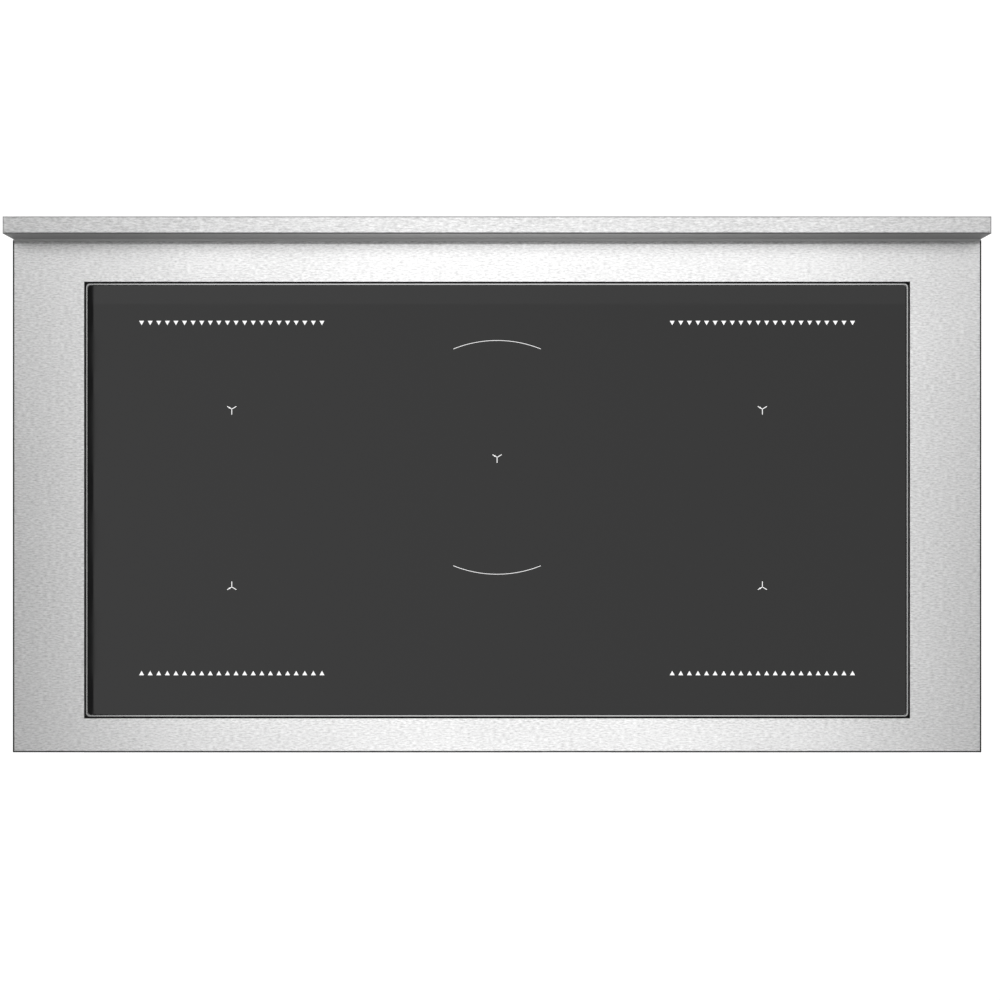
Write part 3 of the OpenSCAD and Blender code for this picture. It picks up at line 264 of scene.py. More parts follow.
class Finish:
    """A node material built round one Principled shader, with patterns in the object's own millimetres."""

    def __init__(self, name, colour, **sockets):
        self.material = bpy.data.materials.new(name)
        self.material.use_nodes = True
        self.tree = self.material.node_tree
        self.shader = self.tree.nodes["Principled BSDF"]
        self.colour = (*colour[:3], 1)
        self.shader.inputs["Base Color"].default_value = self.colour
        self.material.diffuse_color = self.colour
        for key, value in sockets.items():
            self.shader.inputs[key.replace("_", " ")].default_value = value
        self.coords = self.node("ShaderNodeTexCoord")
        self.place = self.coords.outputs["Object"]

    def node(self, kind, inputs=None, **settings):
        return add_node(self.tree, kind, inputs, **settings)

    def maths(self, operation, a, b=0.0, clamp=False):
        return self.node("ShaderNodeMath", {0: a, 1: b}, operation=operation, use_clamp=clamp).outputs[0]

    def blend(self, a, share_a, b, share_b):
        """The weighted sum of two values."""
        return self.maths("ADD", self.maths("MULTIPLY", a, share_a), self.maths("MULTIPLY", b, share_b))

    def vector(self, operation, *values, output=0):
        """Vector maths on up to two vectors."""
        node = self.node("ShaderNodeVectorMath", dict(enumerate(values)), operation=operation)
        return node.outputs[output]

    def split(self, vector):
        """The X, Y and Z outputs of a vector."""
        return self.node("ShaderNodeSeparateXYZ", {0: vector}).outputs

    def normal(self):
        """The X, Y and Z of the surface's own direction."""
        return self.split(self.node("ShaderNodeNewGeometry").outputs["Normal"])

    def noise(self, size_mm, detail=2.0, roughness=0.5):
        """Noise whose patches have this size along X, Y and Z."""
        if not isinstance(size_mm, tuple):
            size_mm = (size_mm,) * 3
        scale = tuple(1 / (s * MM) for s in size_mm)
        mapping = self.node("ShaderNodeMapping", {"Vector": self.place, "Scale": scale})
        texture = self.node("ShaderNodeTexNoise", {"Vector": mapping.outputs[0], "Scale": 1.0,
                                                   "Detail": detail, "Roughness": roughness})
        return texture.outputs["Fac"]

    def cells(self, size_mm, feature="F1", output="Color"):
        """Voronoi cells of this size."""
        texture = self.node("ShaderNodeTexVoronoi", {"Vector": self.place, "Scale": 1 / (size_mm * MM)},
                            feature=feature)
        return texture.outputs[output]

    def ramp(self, value, low, high, out_low=0.0, out_high=1.0, smooth=True):
        """Maps a value's span to another span."""
        node = self.node("ShaderNodeMapRange", {"Value": value, "From Min": low, "From Max": high,
                                                "To Min": out_low, "To Max": out_high},
                         interpolation_type="SMOOTHSTEP" if smooth else "LINEAR")
        return node.outputs[0]

    def vary(self, value, middle, swing, smooth=True):
        """Turns noise into a roughness that swings round its middle."""
        return self.ramp(value, *NOISE_SPAN, middle - swing, middle + swing, smooth)

    def mix(self, factor, a, b):
        """Mixes two colours."""
        node = self.node("ShaderNodeMix", {"Factor": factor}, data_type="RGBA")
        for socket, value in ((node.inputs[6], a), (node.inputs[7], b)):
            if isinstance(value, bpy.types.NodeSocket):
                self.tree.links.new(value, socket)
            else:
                socket.default_value = value
        return node.outputs[2]

    def shades(self, factor, dark=0.9, light=1.08):
        """The finish's own colour, varied between two levels of brightness."""
        scaled = [tuple(c * level for c in self.colour[:3]) + (1,) for level in (dark, light)]
        return self.mix(self.ramp(factor, *SHADE_SPAN, smooth=False), *scaled)

    def join(self, value, socket):
        """Feeds a value to one of the shader's sockets."""
        self.tree.links.new(value, self.shader.inputs[socket])

    def paint(self, colour):
        self.join(colour, "Base Color")

    def rough(self, value):
        self.join(value, "Roughness")

    def bump(self, height, depth_mm, strength=1.0):
        node = self.node("ShaderNodeBump", {"Height": height, "Strength": strength,
                                            "Distance": depth_mm * MM})
        self.join(node.outputs[0], "Normal")

    def brushed_along(self, axis):
        """Turns the highlight across the brush lines, which run along this axis or round it."""
        tangent = self.node("ShaderNodeTangent", direction_type="RADIAL", axis=axis)
        self.join(tangent.outputs[0], "Tangent")


# Masks of the sheet steel

def worktop_edges(finish):
    """Painted shade on the outer folds of the worktop, left, right and front: a dark line along each."""
    low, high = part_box("worktop")
    place = finish.split(finish.place)
    side = finish.maths("GREATER_THAN", finish.maths("ABSOLUTE", place["X"]), high.x - SIDE_PAINTED_LINE)
    front = finish.maths("LESS_THAN", place["Y"], low.y + FRONT_PAINTED_LINE)
    upward = finish.maths("GREATER_THAN", finish.normal()["Z"], UPWARD)
    return finish.maths("MULTIPLY", upward, finish.maths("MAXIMUM", side, front))


def worktop_fold(finish):
    """The worktop's fold in front of the upstand, which isn't polished."""
    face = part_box("upstand")[0].y
    behind = finish.maths("GREATER_THAN", finish.split(finish.place)["Y"], face - FOLD_REACH)
    return finish.maths("MULTIPLY", behind, finish.maths("GREATER_THAN", finish.normal()["Y"], BACKWARD))


def upstand_edges(finish):
    """Painted shade on the upstand's front: darkest just under its top edge, and darker towards its ends."""
    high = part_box("upstand")[1]
    place = finish.split(finish.place)
    ends = finish.ramp(finish.maths("ABSOLUTE", place["X"]), 0, high.x,
                       UPSTAND_MIDDLE_PAINTED_SHADE, UPSTAND_END_PAINTED_SHADE)
    top = finish.ramp(place["Z"], high.z - UPSTAND_PAINTED_LINE, high.z - UPSTAND_PAINTED_LINE / 4, 0, UPSTAND_PAINTED_LINE_SHADE)
    forward = finish.maths("LESS_THAN", finish.normal()["Y"], FORWARD)
    return finish.maths("MULTIPLY", forward, finish.maths("MAXIMUM", ends, top))


# Finishes

def brush_lines(finish, length, breadth):
    """The height of brush lines of this mean length and breadth in mm."""
    streaks = finish.noise((length, breadth, breadth), detail=3, roughness=0.6)
    hairs = finish.noise((length * 3, breadth / 3, breadth / 3), detail=2)
    return finish.blend(streaks, 0.75, hairs, 0.25)


def brushed(name, colour, roughness=0.36, anisotropic=0.3, ground_top=False, dark=None, matt=None):
    """Sheet steel brushed along its width. A ground top has a coarser grain where it is level.
    dark gives a mask of the painted shade on its edges, and matt a mask of its duller folds."""
    finish = Finish(name, colour, Metallic=1.0, Anisotropic=anisotropic)
    lines = brush_lines(finish, *GRAIN)
    tone = finish.shades(lines, *GRAIN_SHADES)
    if ground_top:
        level = finish.maths("GREATER_THAN", finish.normal()["Z"], LEVEL)
        tone = finish.mix(level, tone, finish.shades(brush_lines(finish, *GROUND_GRAIN), *GROUND_SHADES))
    if dark:
        # The mask paints shade: metal would shine fully at a glancing angle, so the mask takes its metal and
        # its gloss away and paints the edges near black.
        shade = dark(finish)
        tone = finish.mix(shade, tone, grey(EDGE_PAINTED_SHADE_GREY))
        finish.shader.inputs["Specular IOR Level"].default_value = 0.0
        finish.join(finish.maths("SUBTRACT", 1.0, shade), "Metallic")
    finish.paint(tone)
    clouds = finish.noise((160, 70, 70))
    rough = finish.maths("ADD", finish.vary(lines, roughness, 0.05, smooth=False),
                         finish.vary(clouds, 0, 0.015))
    if matt:
        rough = finish.maths("ADD", rough, finish.maths("MULTIPLY", matt(finish), FOLD_DULLNESS), clamp=True)
    finish.rough(rough)
    finish.bump(lines, 0.01, 0.3)
    finish.brushed_along("X")
    return finish.material


def turned(name, colour, roughness, anisotropic=0.5):
    """Metal turned on a lathe about its own front-to-back axis."""
    finish = Finish(name, colour, Metallic=1.0, Anisotropic=anisotropic)
    centred = finish.vector("SUBTRACT", finish.coords.outputs["Generated"], (0.5, 0.5, 0.5))
    radius = finish.vector("LENGTH", finish.vector("MULTIPLY", centred, (1, 0, 1)), output="Value")
    rings = finish.node("ShaderNodeTexNoise", {"W": radius, "Scale": 60.0, "Detail": 3.0},
                        noise_dimensions="1D").outputs["Fac"]
    finish.paint(finish.shades(rings, 0.86, 1.08))
    finish.rough(finish.vary(rings, roughness, 0.05))
    finish.bump(rings, 0.03, 0.3)
    finish.brushed_along("Y")
    return finish.material


def plain_metal(name, colour, roughness, patch_mm=8, contrast=0.12):
    """Unpolished metal with soft patches."""
    finish = Finish(name, colour, Metallic=1.0)
    patches = finish.noise(patch_mm, detail=4, roughness=0.6)
    finish.paint(finish.shades(patches, 1 - contrast, 1 + contrast))
    finish.rough(finish.vary(patches, roughness, 0.07))
    finish.bump(patches, 0.02, 0.4)
    return finish.material


def galvanised():
    """Zinc-coated sheet with its crystal spangle."""
    finish = Finish("galvanised_steel", (0.52, 0.53, 0.54), Metallic=1.0)
    spangle = finish.split(finish.cells(9))["X"]
    fine = finish.noise(1.5, detail=2)
    finish.paint(finish.shades(finish.blend(spangle, 0.7, fine, 0.3), 0.86, 1.12))
    finish.rough(finish.ramp(spangle, 0, 1, 0.36, 0.52))
    finish.bump(fine, 0.01, 0.3)
    return finish.material


def ceramic_glass():
    """Opaque glass ceramic, nearly black under a clear polish, with painted shade that makes it darker to
    the right.
    """
    finish = Finish("ceramic_glass", (0.0038, 0.0038, 0.0039), IOR=1.436)
    depth = finish.noise(0.8, detail=2)
    wiped = finish.noise((190, 60, 60), detail=2)
    # Painted shade: the colour darkens from left to right across the glass
    across = finish.ramp(finish.split(finish.place)["X"], -GLASS_PAINTED_SHADE_REACH, GLASS_PAINTED_SHADE_REACH, smooth=False)
    finish.paint(finish.mix(across, finish.shades(depth, 1.2, 1.6), finish.shades(depth, 0.05, 0.1)))
    finish.rough(finish.ramp(wiped, *NOISE_SPAN, 0.012, 0.03))
    return finish.material


def moulded(name, colour, roughness=0.55, grain_mm=0.6, depth_mm=0.03, **sockets):
    """Plastic or rubber with a fine moulded grain."""
    finish = Finish(name, colour, **sockets)
    grain = finish.noise(grain_mm, detail=3, roughness=0.6)
    finish.paint(finish.shades(finish.noise(35), 0.9, 1.12))
    finish.rough(finish.vary(grain, roughness, 0.06))
    finish.bump(grain, depth_mm, 0.5)
    return finish.material


def enamel(name, colour, roughness=0.12, flecks=0.0, peel_mm=3.0):
    """Vitreous or baked paint: glossy, with orange peel and, inside the ovens, pale flecks."""
    finish = Finish(name, colour, Coat_Weight=0.6, Coat_Roughness=0.06)
    peel = finish.noise(peel_mm, detail=1)
    tone = finish.shades(finish.noise(60), 0.92, 1.1)
    if flecks:
        spots = finish.ramp(finish.cells(2.4, output="Distance"), 0.10, 0.16, 1.0, 0.0)
        scattered = finish.ramp(finish.noise(3.1), 0.52, 0.56)
        amount = finish.maths("MULTIPLY", finish.maths("MULTIPLY", spots, scattered), flecks)
        tone = finish.mix(amount, tone, grey(0.75))
    finish.paint(tone)
    finish.rough(finish.ramp(peel, *NOISE_SPAN, roughness, roughness + 0.08))
    finish.bump(peel, 0.03, 0.25)
    return finish.material


def copper_wire():
    """Enamelled copper, wound in turns."""
    finish = Finish("copper", (0.72, 0.30, 0.13), Metallic=1.0, Coat_Weight=0.5, Coat_Roughness=0.1)
    strands = finish.noise(0.9, detail=2)
    finish.paint(finish.shades(strands, 0.7, 1.15))
    finish.rough(finish.vary(strands, 0.27, 0.07))
    finish.bump(strands, 0.08, 0.5)
    return finish.material


def circuit_board():
    """Green solder mask with its tracks."""
    finish = Finish("circuit_board", (0.015, 0.10, 0.04), Coat_Weight=0.4, Coat_Roughness=0.15)
    tracks = finish.ramp(finish.cells(5, "DISTANCE_TO_EDGE", "Distance"), 0.05, 0.09, 1.0, 0.0)
    finish.paint(finish.mix(tracks, finish.colour, (0.05, 0.22, 0.09, 1)))
    finish.rough(finish.vary(finish.noise(6), 0.36, 0.06))
    finish.bump(tracks, 0.05, 0.4)
    return finish.material


def mineral_wool():
    """Pressed yellow-brown fibre."""
    finish = Finish("mineral_wool", (0.48, 0.42, 0.24), Roughness=0.95)
    fibres = finish.noise((7, 0.7, 0.7), detail=4, roughness=0.7)
    clumps = finish.noise(12, detail=2)
    finish.paint(finish.shades(finish.blend(fibres, 0.6, clumps, 0.4), 0.6, 1.25))
    finish.bump(fibres, 0.8, 0.8)
    return finish.material


def clear_glass(name, tint, roughness=0.02):
    """See-through glass with a tint."""
    finish = Finish(name, tint, Transmission_Weight=1.0, IOR=1.47)
    film = finish.noise((120, 60, 60), detail=2)
    finish.paint(finish.shades(film, 0.94, 1.05))
    finish.rough(finish.ramp(film, *NOISE_SPAN, roughness, roughness + 0.025))
    return finish.material


def ink(name, colour, roughness=0.45, glow=0.0):
    """Printed or lit marks."""
    finish = Finish(name, colour)
    speckle = finish.noise(0.35)
    finish.paint(finish.shades(speckle, 0.96, 1.0))
    finish.rough(finish.vary(speckle, roughness, 0.05))
    if glow:
        finish.shader.inputs["Emission Color"].default_value = finish.colour
        finish.shader.inputs["Emission Strength"].default_value = glow
    return finish.material


def make_finishes():
    """One finish for each material slot of the record."""
    return {
        "brushed_steel": brushed("brushed_steel", STEEL),
        "ceramic_glass": ceramic_glass(),
        "steel_trim": brushed("steel_trim", (0.4, 0.4, 0.4), 0.22),
        "black_sealant": moulded("black_sealant", (0.004, 0.004, 0.004), 0.7, 1.5, Specular_IOR_Level=0.1),
        "side_paint": enamel("side_paint", (0.33, 0.33, 0.34), 0.38, peel_mm=1.6),
        "galvanised_steel": galvanised(),
        "frame_enamel": enamel("frame_enamel", (0.022, 0.022, 0.024), 0.3),
        "oven_enamel": enamel("oven_enamel", (0.022, 0.026, 0.036), flecks=0.8),
        "tray_enamel": enamel("tray_enamel", (0.012, 0.013, 0.016), 0.1, flecks=0.35),
        "bright_wire": plain_metal("bright_wire", (0.78, 0.78, 0.77), 0.14, contrast=0.05),
        "copper": copper_wire(),
        "coil_plastic": moulded("coil_plastic", (0.66, 0.63, 0.55), 0.5),
        "circuit_board": circuit_board(),
        "black_plastic": moulded("black_plastic", (0.02, 0.02, 0.021), 0.5),
        "display_glass": ceramic_glass(),
        "polished_steel": brushed("polished_steel", (0.76, 0.76, 0.755), 0.2, 0.45),
        "knob_metal": turned("knob_metal", (0.7, 0.7, 0.695), 0.24),
        "mineral_wool": mineral_wool(),
        "gasket_rubber": moulded("gasket_rubber", (0.035, 0.034, 0.033), 0.75, 1.2, 0.25),
        "element_sheath": plain_metal("element_sheath", (0.17, 0.15, 0.135), 0.5, 5, contrast=0.3),
        "zinc_plate": plain_metal("zinc_plate", (0.58, 0.59, 0.56), 0.33, 10),
        "motor_steel": plain_metal("motor_steel", (0.48, 0.48, 0.48), 0.4),
        "fan_aluminium": plain_metal("fan_aluminium", (0.74, 0.74, 0.75), 0.32, 12),
        "lamp_glass": clear_glass("lamp_glass", (0.95, 0.92, 0.84), 0.08),
        "door_glass": clear_glass("door_glass", (0.42, 0.42, 0.43)),
        "foot_plastic": moulded("foot_plastic", (0.03, 0.03, 0.031), 0.6),
    }


def make_prints():
    """The finishes of what the scene adds to the model."""
    return {
        "zone_ink": ink("zone_ink", (0.93, 0.93, 0.93)),
        "dial_ink": ink("dial_ink", (0.012, 0.012, 0.013), 0.4),
        "clock_light": ink("clock_light", (0.55, 0.8, 1.0), glow=3.0),
        "window_print": moulded("window_print", (0.004, 0.004, 0.004), 0.3),
        # The weld's darker grey is painted shade in the groove behind the worktop
        "ground_weld_painted_shade": brushed("ground_weld_painted_shade", (0.6, 0.6, 0.6), 0.6, 0.1),
    }


def dress_nodes(finishes):
    """Gives each node of the model the finish of its slot, and two nodes their own steel."""
    for part in frame["record"]["subparts"]:
        obj = frame["nodes"][part["node"]]
        obj.data.materials.clear()
        obj.data.materials.append(finishes[part["material_slot"]])
    # The worktop's and the upstand's own steel carry painted shade on their edges
    own = {
        "worktop": brushed("worktop_steel", STEEL, ground_top=True, dark=worktop_edges, matt=worktop_fold),
        "upstand": brushed("upstand_steel", UPSTAND_STEEL, ground_top=True, dark=upstand_edges),
    }
    for node, material in own.items():
        frame["nodes"][node].data.materials[0] = material


# Places: a place turns (across, up, out) into a point of the model

def facing_up(x, y, z):
    return lambda u, v, w: Vector((x + u, y + v, z + w))


def facing_front(x, y, z):
    return lambda u, v, w: Vector((x + u, y - w, z + v))


def facing_back(x, y, z):
    return lambda u, v, w: Vector((x - u, y + w, z + v))


def facing_side(x, y, z, way):
    return lambda u, v, w: Vector((x + way * w, y + way * u, z + v))


def moved(place, across=0.0, up=0.0, out=0.0):
    """The same place with another origin."""
    return lambda u, v, w: place(u + across, v + up, w + out)


# Mesh helpers

def plate(bm, place, outline, thickness):
    """A flat closed plate with this outline, given anticlockwise."""
    low = [bm.verts.new(place(u, v, 0)) for u, v in outline]
    high = [bm.verts.new(place(u, v, thickness)) for u, v in outline]
    bm.faces.new(low[::-1])
    bm.faces.new(high)
    count = len(outline)
    for i in range(count):
        j = (i + 1) % count
        bm.faces.new((low[i], low[j], high[j], high[i]))


def sector(bm, place, radius, width, start, end, steps=24):
    """A printed curve between two angles in degrees."""
    rows = []
    for i in range(steps + 1):
        angle = math.radians(start + (end - start) * i / steps)
        row = []
        for r in (radius - width / 2, radius + width / 2):
            u, v = r * math.cos(angle), r * math.sin(angle)
            row += [bm.verts.new(place(u, v, 0)), bm.verts.new(place(u, v, INK_THICKNESS))]
        rows.append(row)
    for a, b in zip(rows, rows[1:]):
        for i, j in ((0, 2), (2, 3), (3, 1), (1, 0)):
            bm.faces.new((a[j], a[i], b[i], b[j]))
    bm.faces.new((rows[0][0], rows[0][1], rows[0][3], rows[0][2]))
    bm.faces.new((rows[-1][2], rows[-1][3], rows[-1][1], rows[-1][0]))


def stroke(bm, place, start, end, width, thickness=INK_THICKNESS):
    """A straight bar from one point to another."""
    a, b = Vector(start), Vector(end)
    side = (b - a).orthogonal().normalized() * width / 2
    outline = [a + side, a - side, b - side, b + side]
    plate(bm, place, [tuple(p) for p in outline], thickness)


def disc(bm, place, centre, radius, thickness=INK_THICKNESS, steps=20):
    """A round plate."""
    angles = [2 * math.pi * i / steps for i in range(steps)]
    outline = [(centre[0] + radius * math.cos(a), centre[1] + radius * math.sin(a)) for a in angles]
    plate(bm, place, outline, thickness)


def outline_box(bm, place, centre, wide, high):
    """A rectangle drawn with four strokes."""
    x, y = centre
    corners = [(x - wide / 2, y - high / 2), (x + wide / 2, y - high / 2),
               (x + wide / 2, y + high / 2), (x - wide / 2, y + high / 2)]
    for a, b in zip(corners, corners[1:] + corners[:1]):
        stroke(bm, place, a, b, SYMBOL_STROKE)


def rounded_outline(wide, high, radius, steps=6):
    """A rectangle's points with round corners, anticlockwise from the right."""
    points = []
    for corner, (x, y) in enumerate([(1, 1), (-1, 1), (-1, -1), (1, -1)]):
        for i in range(steps + 1):
            angle = math.radians(90 * (corner + i / steps))
            points.append((x * (wide / 2 - radius) + radius * math.cos(angle),
                           y * (high / 2 - radius) + radius * math.sin(angle)))
    return points


def ring(bm, place, outer, inner, thickness):
    """A flat closed ring between two outlines with as many points."""
    rows = []
    for a, b in zip(outer, inner):
        rows.append([bm.verts.new(place(*a, 0)), bm.verts.new(place(*a, thickness)),
                     bm.verts.new(place(*b, thickness)), bm.verts.new(place(*b, 0))])
    for a, b in zip(rows, rows[1:] + rows[:1]):
        for i in range(4):
            j = (i + 1) % 4
            bm.faces.new((a[i], b[i], b[j], a[j]))


def lathe(bm, place, rings, steps=20):
    """A round solid from rings of (radius, height)."""
    loops = []
    for radius, height in rings:
        loop = []
        for i in range(steps):
            angle = 2 * math.pi * i / steps
            loop.append(bm.verts.new(place(radius * math.cos(angle), radius * math.sin(angle), height)))
        loops.append(loop)
    bm.faces.new(loops[0][::-1])
    bm.faces.new(loops[-1])
    for a, b in zip(loops, loops[1:]):
        for i in range(steps):
            j = (i + 1) % steps
            bm.faces.new((a[i], a[j], b[j], b[i]))


def lettering(bm, place, text, size, centre):
    """Printed numbers, centred on a point of the place."""
    curve = bpy.data.curves.new("lettering", "FONT")
    curve.body = text
    curve.size = size
    curve.align_x = "CENTER"
    curve.align_y = "CENTER"
    curve.resolution_u = 3
    curve.extrude = INK_THICKNESS / 2
    curve.offset = size * LETTER_WEIGHT
    holder = link(bpy.data.objects.new("lettering", curve))
    bpy.context.view_layer.update()
    mesh = bpy.data.meshes.new_from_object(holder)
    corners = [bm.verts.new(place(centre[0] + v.co.x, centre[1] + v.co.y, v.co.z + INK_THICKNESS / 2))
               for v in mesh.vertices]
    for polygon in mesh.polygons:
        face = [corners[i] for i in polygon.vertices]
        if len(set(face)) == len(face):
            bm.faces.new(face)
    bpy.data.objects.remove(holder)
    bpy.data.meshes.remove(mesh)
    bpy.data.curves.remove(curve)


def piece(name, body, material, bm, smooth=False):
    """Turns a filled bmesh into a named piece that rides on a body."""
    mesh = bpy.data.meshes.new(name)
    bmesh.ops.recalc_face_normals(bm, faces=bm.faces)
    bm.to_mesh(mesh)
    bm.free()
    mesh.materials.append(material)
    if smooth:
        mesh.polygons.foreach_set("use_smooth", [True] * len(mesh.polygons))
        mesh.set_sharp_from_angle(angle=math.radians(SHARP_ANGLE))
    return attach(link(bpy.data.objects.new(name, mesh)), body)


def stage_plane(name, half, z):
    """A level square of the studio."""
    bm = bmesh.new()
    corners = [(-half, -half), (half, -half), (half, half), (-half, half)]
    bm.faces.new([bm.verts.new((x, y, z)) for x, y in corners])
    mesh = bpy.data.meshes.new(name)
    bm.to_mesh(mesh)
    bm.free()
    obj = link(bpy.data.objects.new(name, mesh))
    return obj


# The studio

def soft_lamp(name, left, right, front, rear, height, radiance):
    """A level area lamp above the worktop that shines down."""
    lamp = bpy.data.lights.new(name, "AREA")
    lamp.shape = "RECTANGLE"
    lamp.size = right - left
    lamp.size_y = rear - front
    lamp.energy = radiance * math.pi * lamp.size * lamp.size_y
    holder = link(bpy.data.objects.new(name, lamp))
    holder.location = ((left + right) / 2, (front + rear) / 2, WORKTOP_Z + height)
    holder.visible_camera = False


def empty_tree(owner):
    """Clears the nodes of a material or world."""
    owner.use_nodes = True
    owner.node_tree.nodes.clear()
    return owner.node_tree


def seen_directly(tree):
    """1 for rays from the camera, also through glass."""
    path = add_node(tree, "ShaderNodeLightPath").outputs
    return add_node(tree, "ShaderNodeMath", {0: path["Is Camera Ray"], 1: path["Is Transmission Ray"]},
                    operation="MAXIMUM").outputs[0]


def stage_material(obj, build):
    """Gives a studio plane the shader that build makes in its node tree."""
    material = bpy.data.materials.new(obj.name)
    tree = empty_tree(material)
    add_node(tree, "ShaderNodeOutputMaterial", {"Surface": build(tree).outputs[0]})
    obj.data.materials.append(material)


def dark_shader(tree):
    """A faint even glow."""
    return add_node(tree, "ShaderNodeEmission", {"Color": grey(CEILING_LEVEL)})


def floor_shader(tree):
    """Pale to the light, and white but for the shadow on it when seen."""
    pale = add_node(tree, "ShaderNodeBsdfDiffuse", {"Color": grey(FLOOR_PALE)}).outputs[0]
    faint = add_node(tree, "ShaderNodeBsdfDiffuse", {"Color": grey(FLOOR_FAINT)}).outputs[0]
    glow = add_node(tree, "ShaderNodeEmission", {"Color": grey(FLOOR_GLOW)}).outputs[0]
    bright = add_node(tree, "ShaderNodeAddShader", {0: faint, 1: glow}).outputs[0]
    return add_node(tree, "ShaderNodeMixShader", {0: seen_directly(tree), 1: pale, 2: bright})


def make_world():
    """Even light from all round, seen as plain white and reflected as a grey room."""
    scene.world = bpy.data.worlds.new("studio")
    tree = empty_tree(scene.world)
    light, mirrored, shown = [
        add_node(tree, "ShaderNodeBackground", {"Color": grey(1.0), "Strength": level}).outputs[0]
        for level in (WORLD_LEVEL, REFLECTED_LEVEL, 1.0)
    ]
    glossy = add_node(tree, "ShaderNodeLightPath").outputs["Is Glossy Ray"]
    unseen = add_node(tree, "ShaderNodeMixShader", {0: glossy, 1: light, 2: mirrored}).outputs[0]
    mixed = add_node(tree, "ShaderNodeMixShader", {0: seen_directly(tree), 1: unseen, 2: shown})
    add_node(tree, "ShaderNodeOutputWorld", {"Surface": mixed.outputs[0]})


def make_studio():
    """A plain studio: soft lamps overhead, a dark ceiling that only reflections see, and a pale floor."""
    scene.view_settings.view_transform = "Standard"
    for name, lamp in LAMPS.items():
        soft_lamp(name, *lamp)
    ceiling = stage_plane("studio_ceiling", CEILING_HALF, WORKTOP_Z + CEILING_ABOVE)
    for ray in ("camera", "diffuse", "shadow", "transmission"):
        setattr(ceiling, "visible_" + ray, False)
    stage_material(ceiling, dark_shader)
    make_world()
    stage_material(stage_plane("studio_floor", FLOOR_HALF, 0), floor_shader)


# The hob

def hob_marks(white):
    """The zones printed on the glass: rows of triangles, two arcs and a star on each coil."""
    low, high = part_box("hob_glass")
    middle = (low + high) / 2
    zones_y = middle.y + ZONES_BEHIND_MIDDLE

    bm = bmesh.new()
    for side in (-1, 1):
        for row in (-1, 1):
            for i in range(TRIANGLES_PER_ROW):
                x = middle.x + side * ZONE_X + (i - (TRIANGLES_PER_ROW - 1) / 2) * TRIANGLE_PITCH
                place = facing_up(x, zones_y + row * ROW_Y, high.z)
                half_w, half_h = TRIANGLE_WIDTH / 2, row * TRIANGLE_HEIGHT / 2
                outline = [(-half_w, half_h), (half_w, half_h), (0, -half_h)]
                plate(bm, place, outline, INK_THICKNESS)
    piece("hob_zone_rows", "cabinet", white, bm)

    bm = bmesh.new()
    centre_y = middle.y + ROUND_ZONE_BEHIND_MIDDLE
    for top in (90, 270):
        sector(bm, facing_up(middle.x, centre_y, high.z), ROUND_ZONE_RADIUS, ARC_STROKE,
               top - ROUND_ZONE_HALF_ANGLE, top + ROUND_ZONE_HALF_ANGLE, 48)
    piece("hob_round_zone", "cabinet", white, bm)

    bm = bmesh.new()
    stars = [(0, centre_y, 1)]
    stars += [(side * ZONE_X, zones_y + way * COIL_Y, way) for side in (-1, 1) for way in (-1, 1)]
    for x, y, way in stars:
        place = facing_up(middle.x + x, y, high.z)
        arm_x, arm_y = STAR_ARM[0], way * STAR_ARM[1]
        stroke(bm, place, (0, 0), (0, -way * STAR_STEM), STAR_STROKE)
        for side in (-1, 1):
            stroke(bm, place, (0, 0), (side * arm_x, arm_y), STAR_STROKE)
        disc(bm, place, (-arm_x / 2, arm_y / 2), STAR_DOT, STAR_DOT_THICKNESS)
    piece("hob_zone_centres", "cabinet", white, bm)


def rear_seam(metal):
    """The ground weld in the groove between the worktop and the upstand, painted a darker grey than the
    steel as painted shade in the groove.
    """
    low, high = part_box("upstand")
    top = WORKTOP_Z - SEAM_DEPTH
    bottom = top - SEAM_THICKNESS
    outline = [(0, top), (0, bottom), (-SEAM_WIDTH, bottom), (-SEAM_WIDTH, top)]
    bm = bmesh.new()
    plate(bm, lambda u, v, w: Vector((low.x + SEAM_THICKNESS + w, low.y + u, v)), outline,
          high.x - low.x - 2 * SEAM_THICKNESS)
    piece("rear_seam", "cabinet", metal, bm)


# The control panel

def knob_place(node):
    """The middle of a knob's dial on the panel's face."""
    low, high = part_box(node)
    return facing_front((low.x + high.x) / 2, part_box("control_panel")[0].y, (low.z + high.z) / 2)


def at_angle(radius, degrees):
    """A point of a dial, clockwise from its top."""
    angle = math.radians(degrees)
    return radius * math.sin(angle), radius * math.cos(angle)


def ticks(bm, place, angles):
    """Short lines round a dial."""
    for degrees in angles:
        stroke(bm, place, at_angle(TICK_RADII[0], degrees), at_angle(TICK_RADII[1], degrees), TICK_WIDTH)


def zone_symbol(bm, place, centre, zone):
    """A small plan of the hob with one of its five zones filled."""
    wide, deep = ZONE_SYMBOL_SIZE
    across, up = ZONE_SPREAD
    outline_box(bm, place, centre, wide, deep)
    spots = [(-1, -1), (-1, 1), (0, 0), (1, 1), (1, -1)]
    for i, (x, y) in enumerate(spots):
        radius = ZONE_SPOT if i == zone else OTHER_ZONE_SPOT
        disc(bm, place, (centre[0] + x * wide * across, centre[1] + y * deep * up), radius, steps=12)


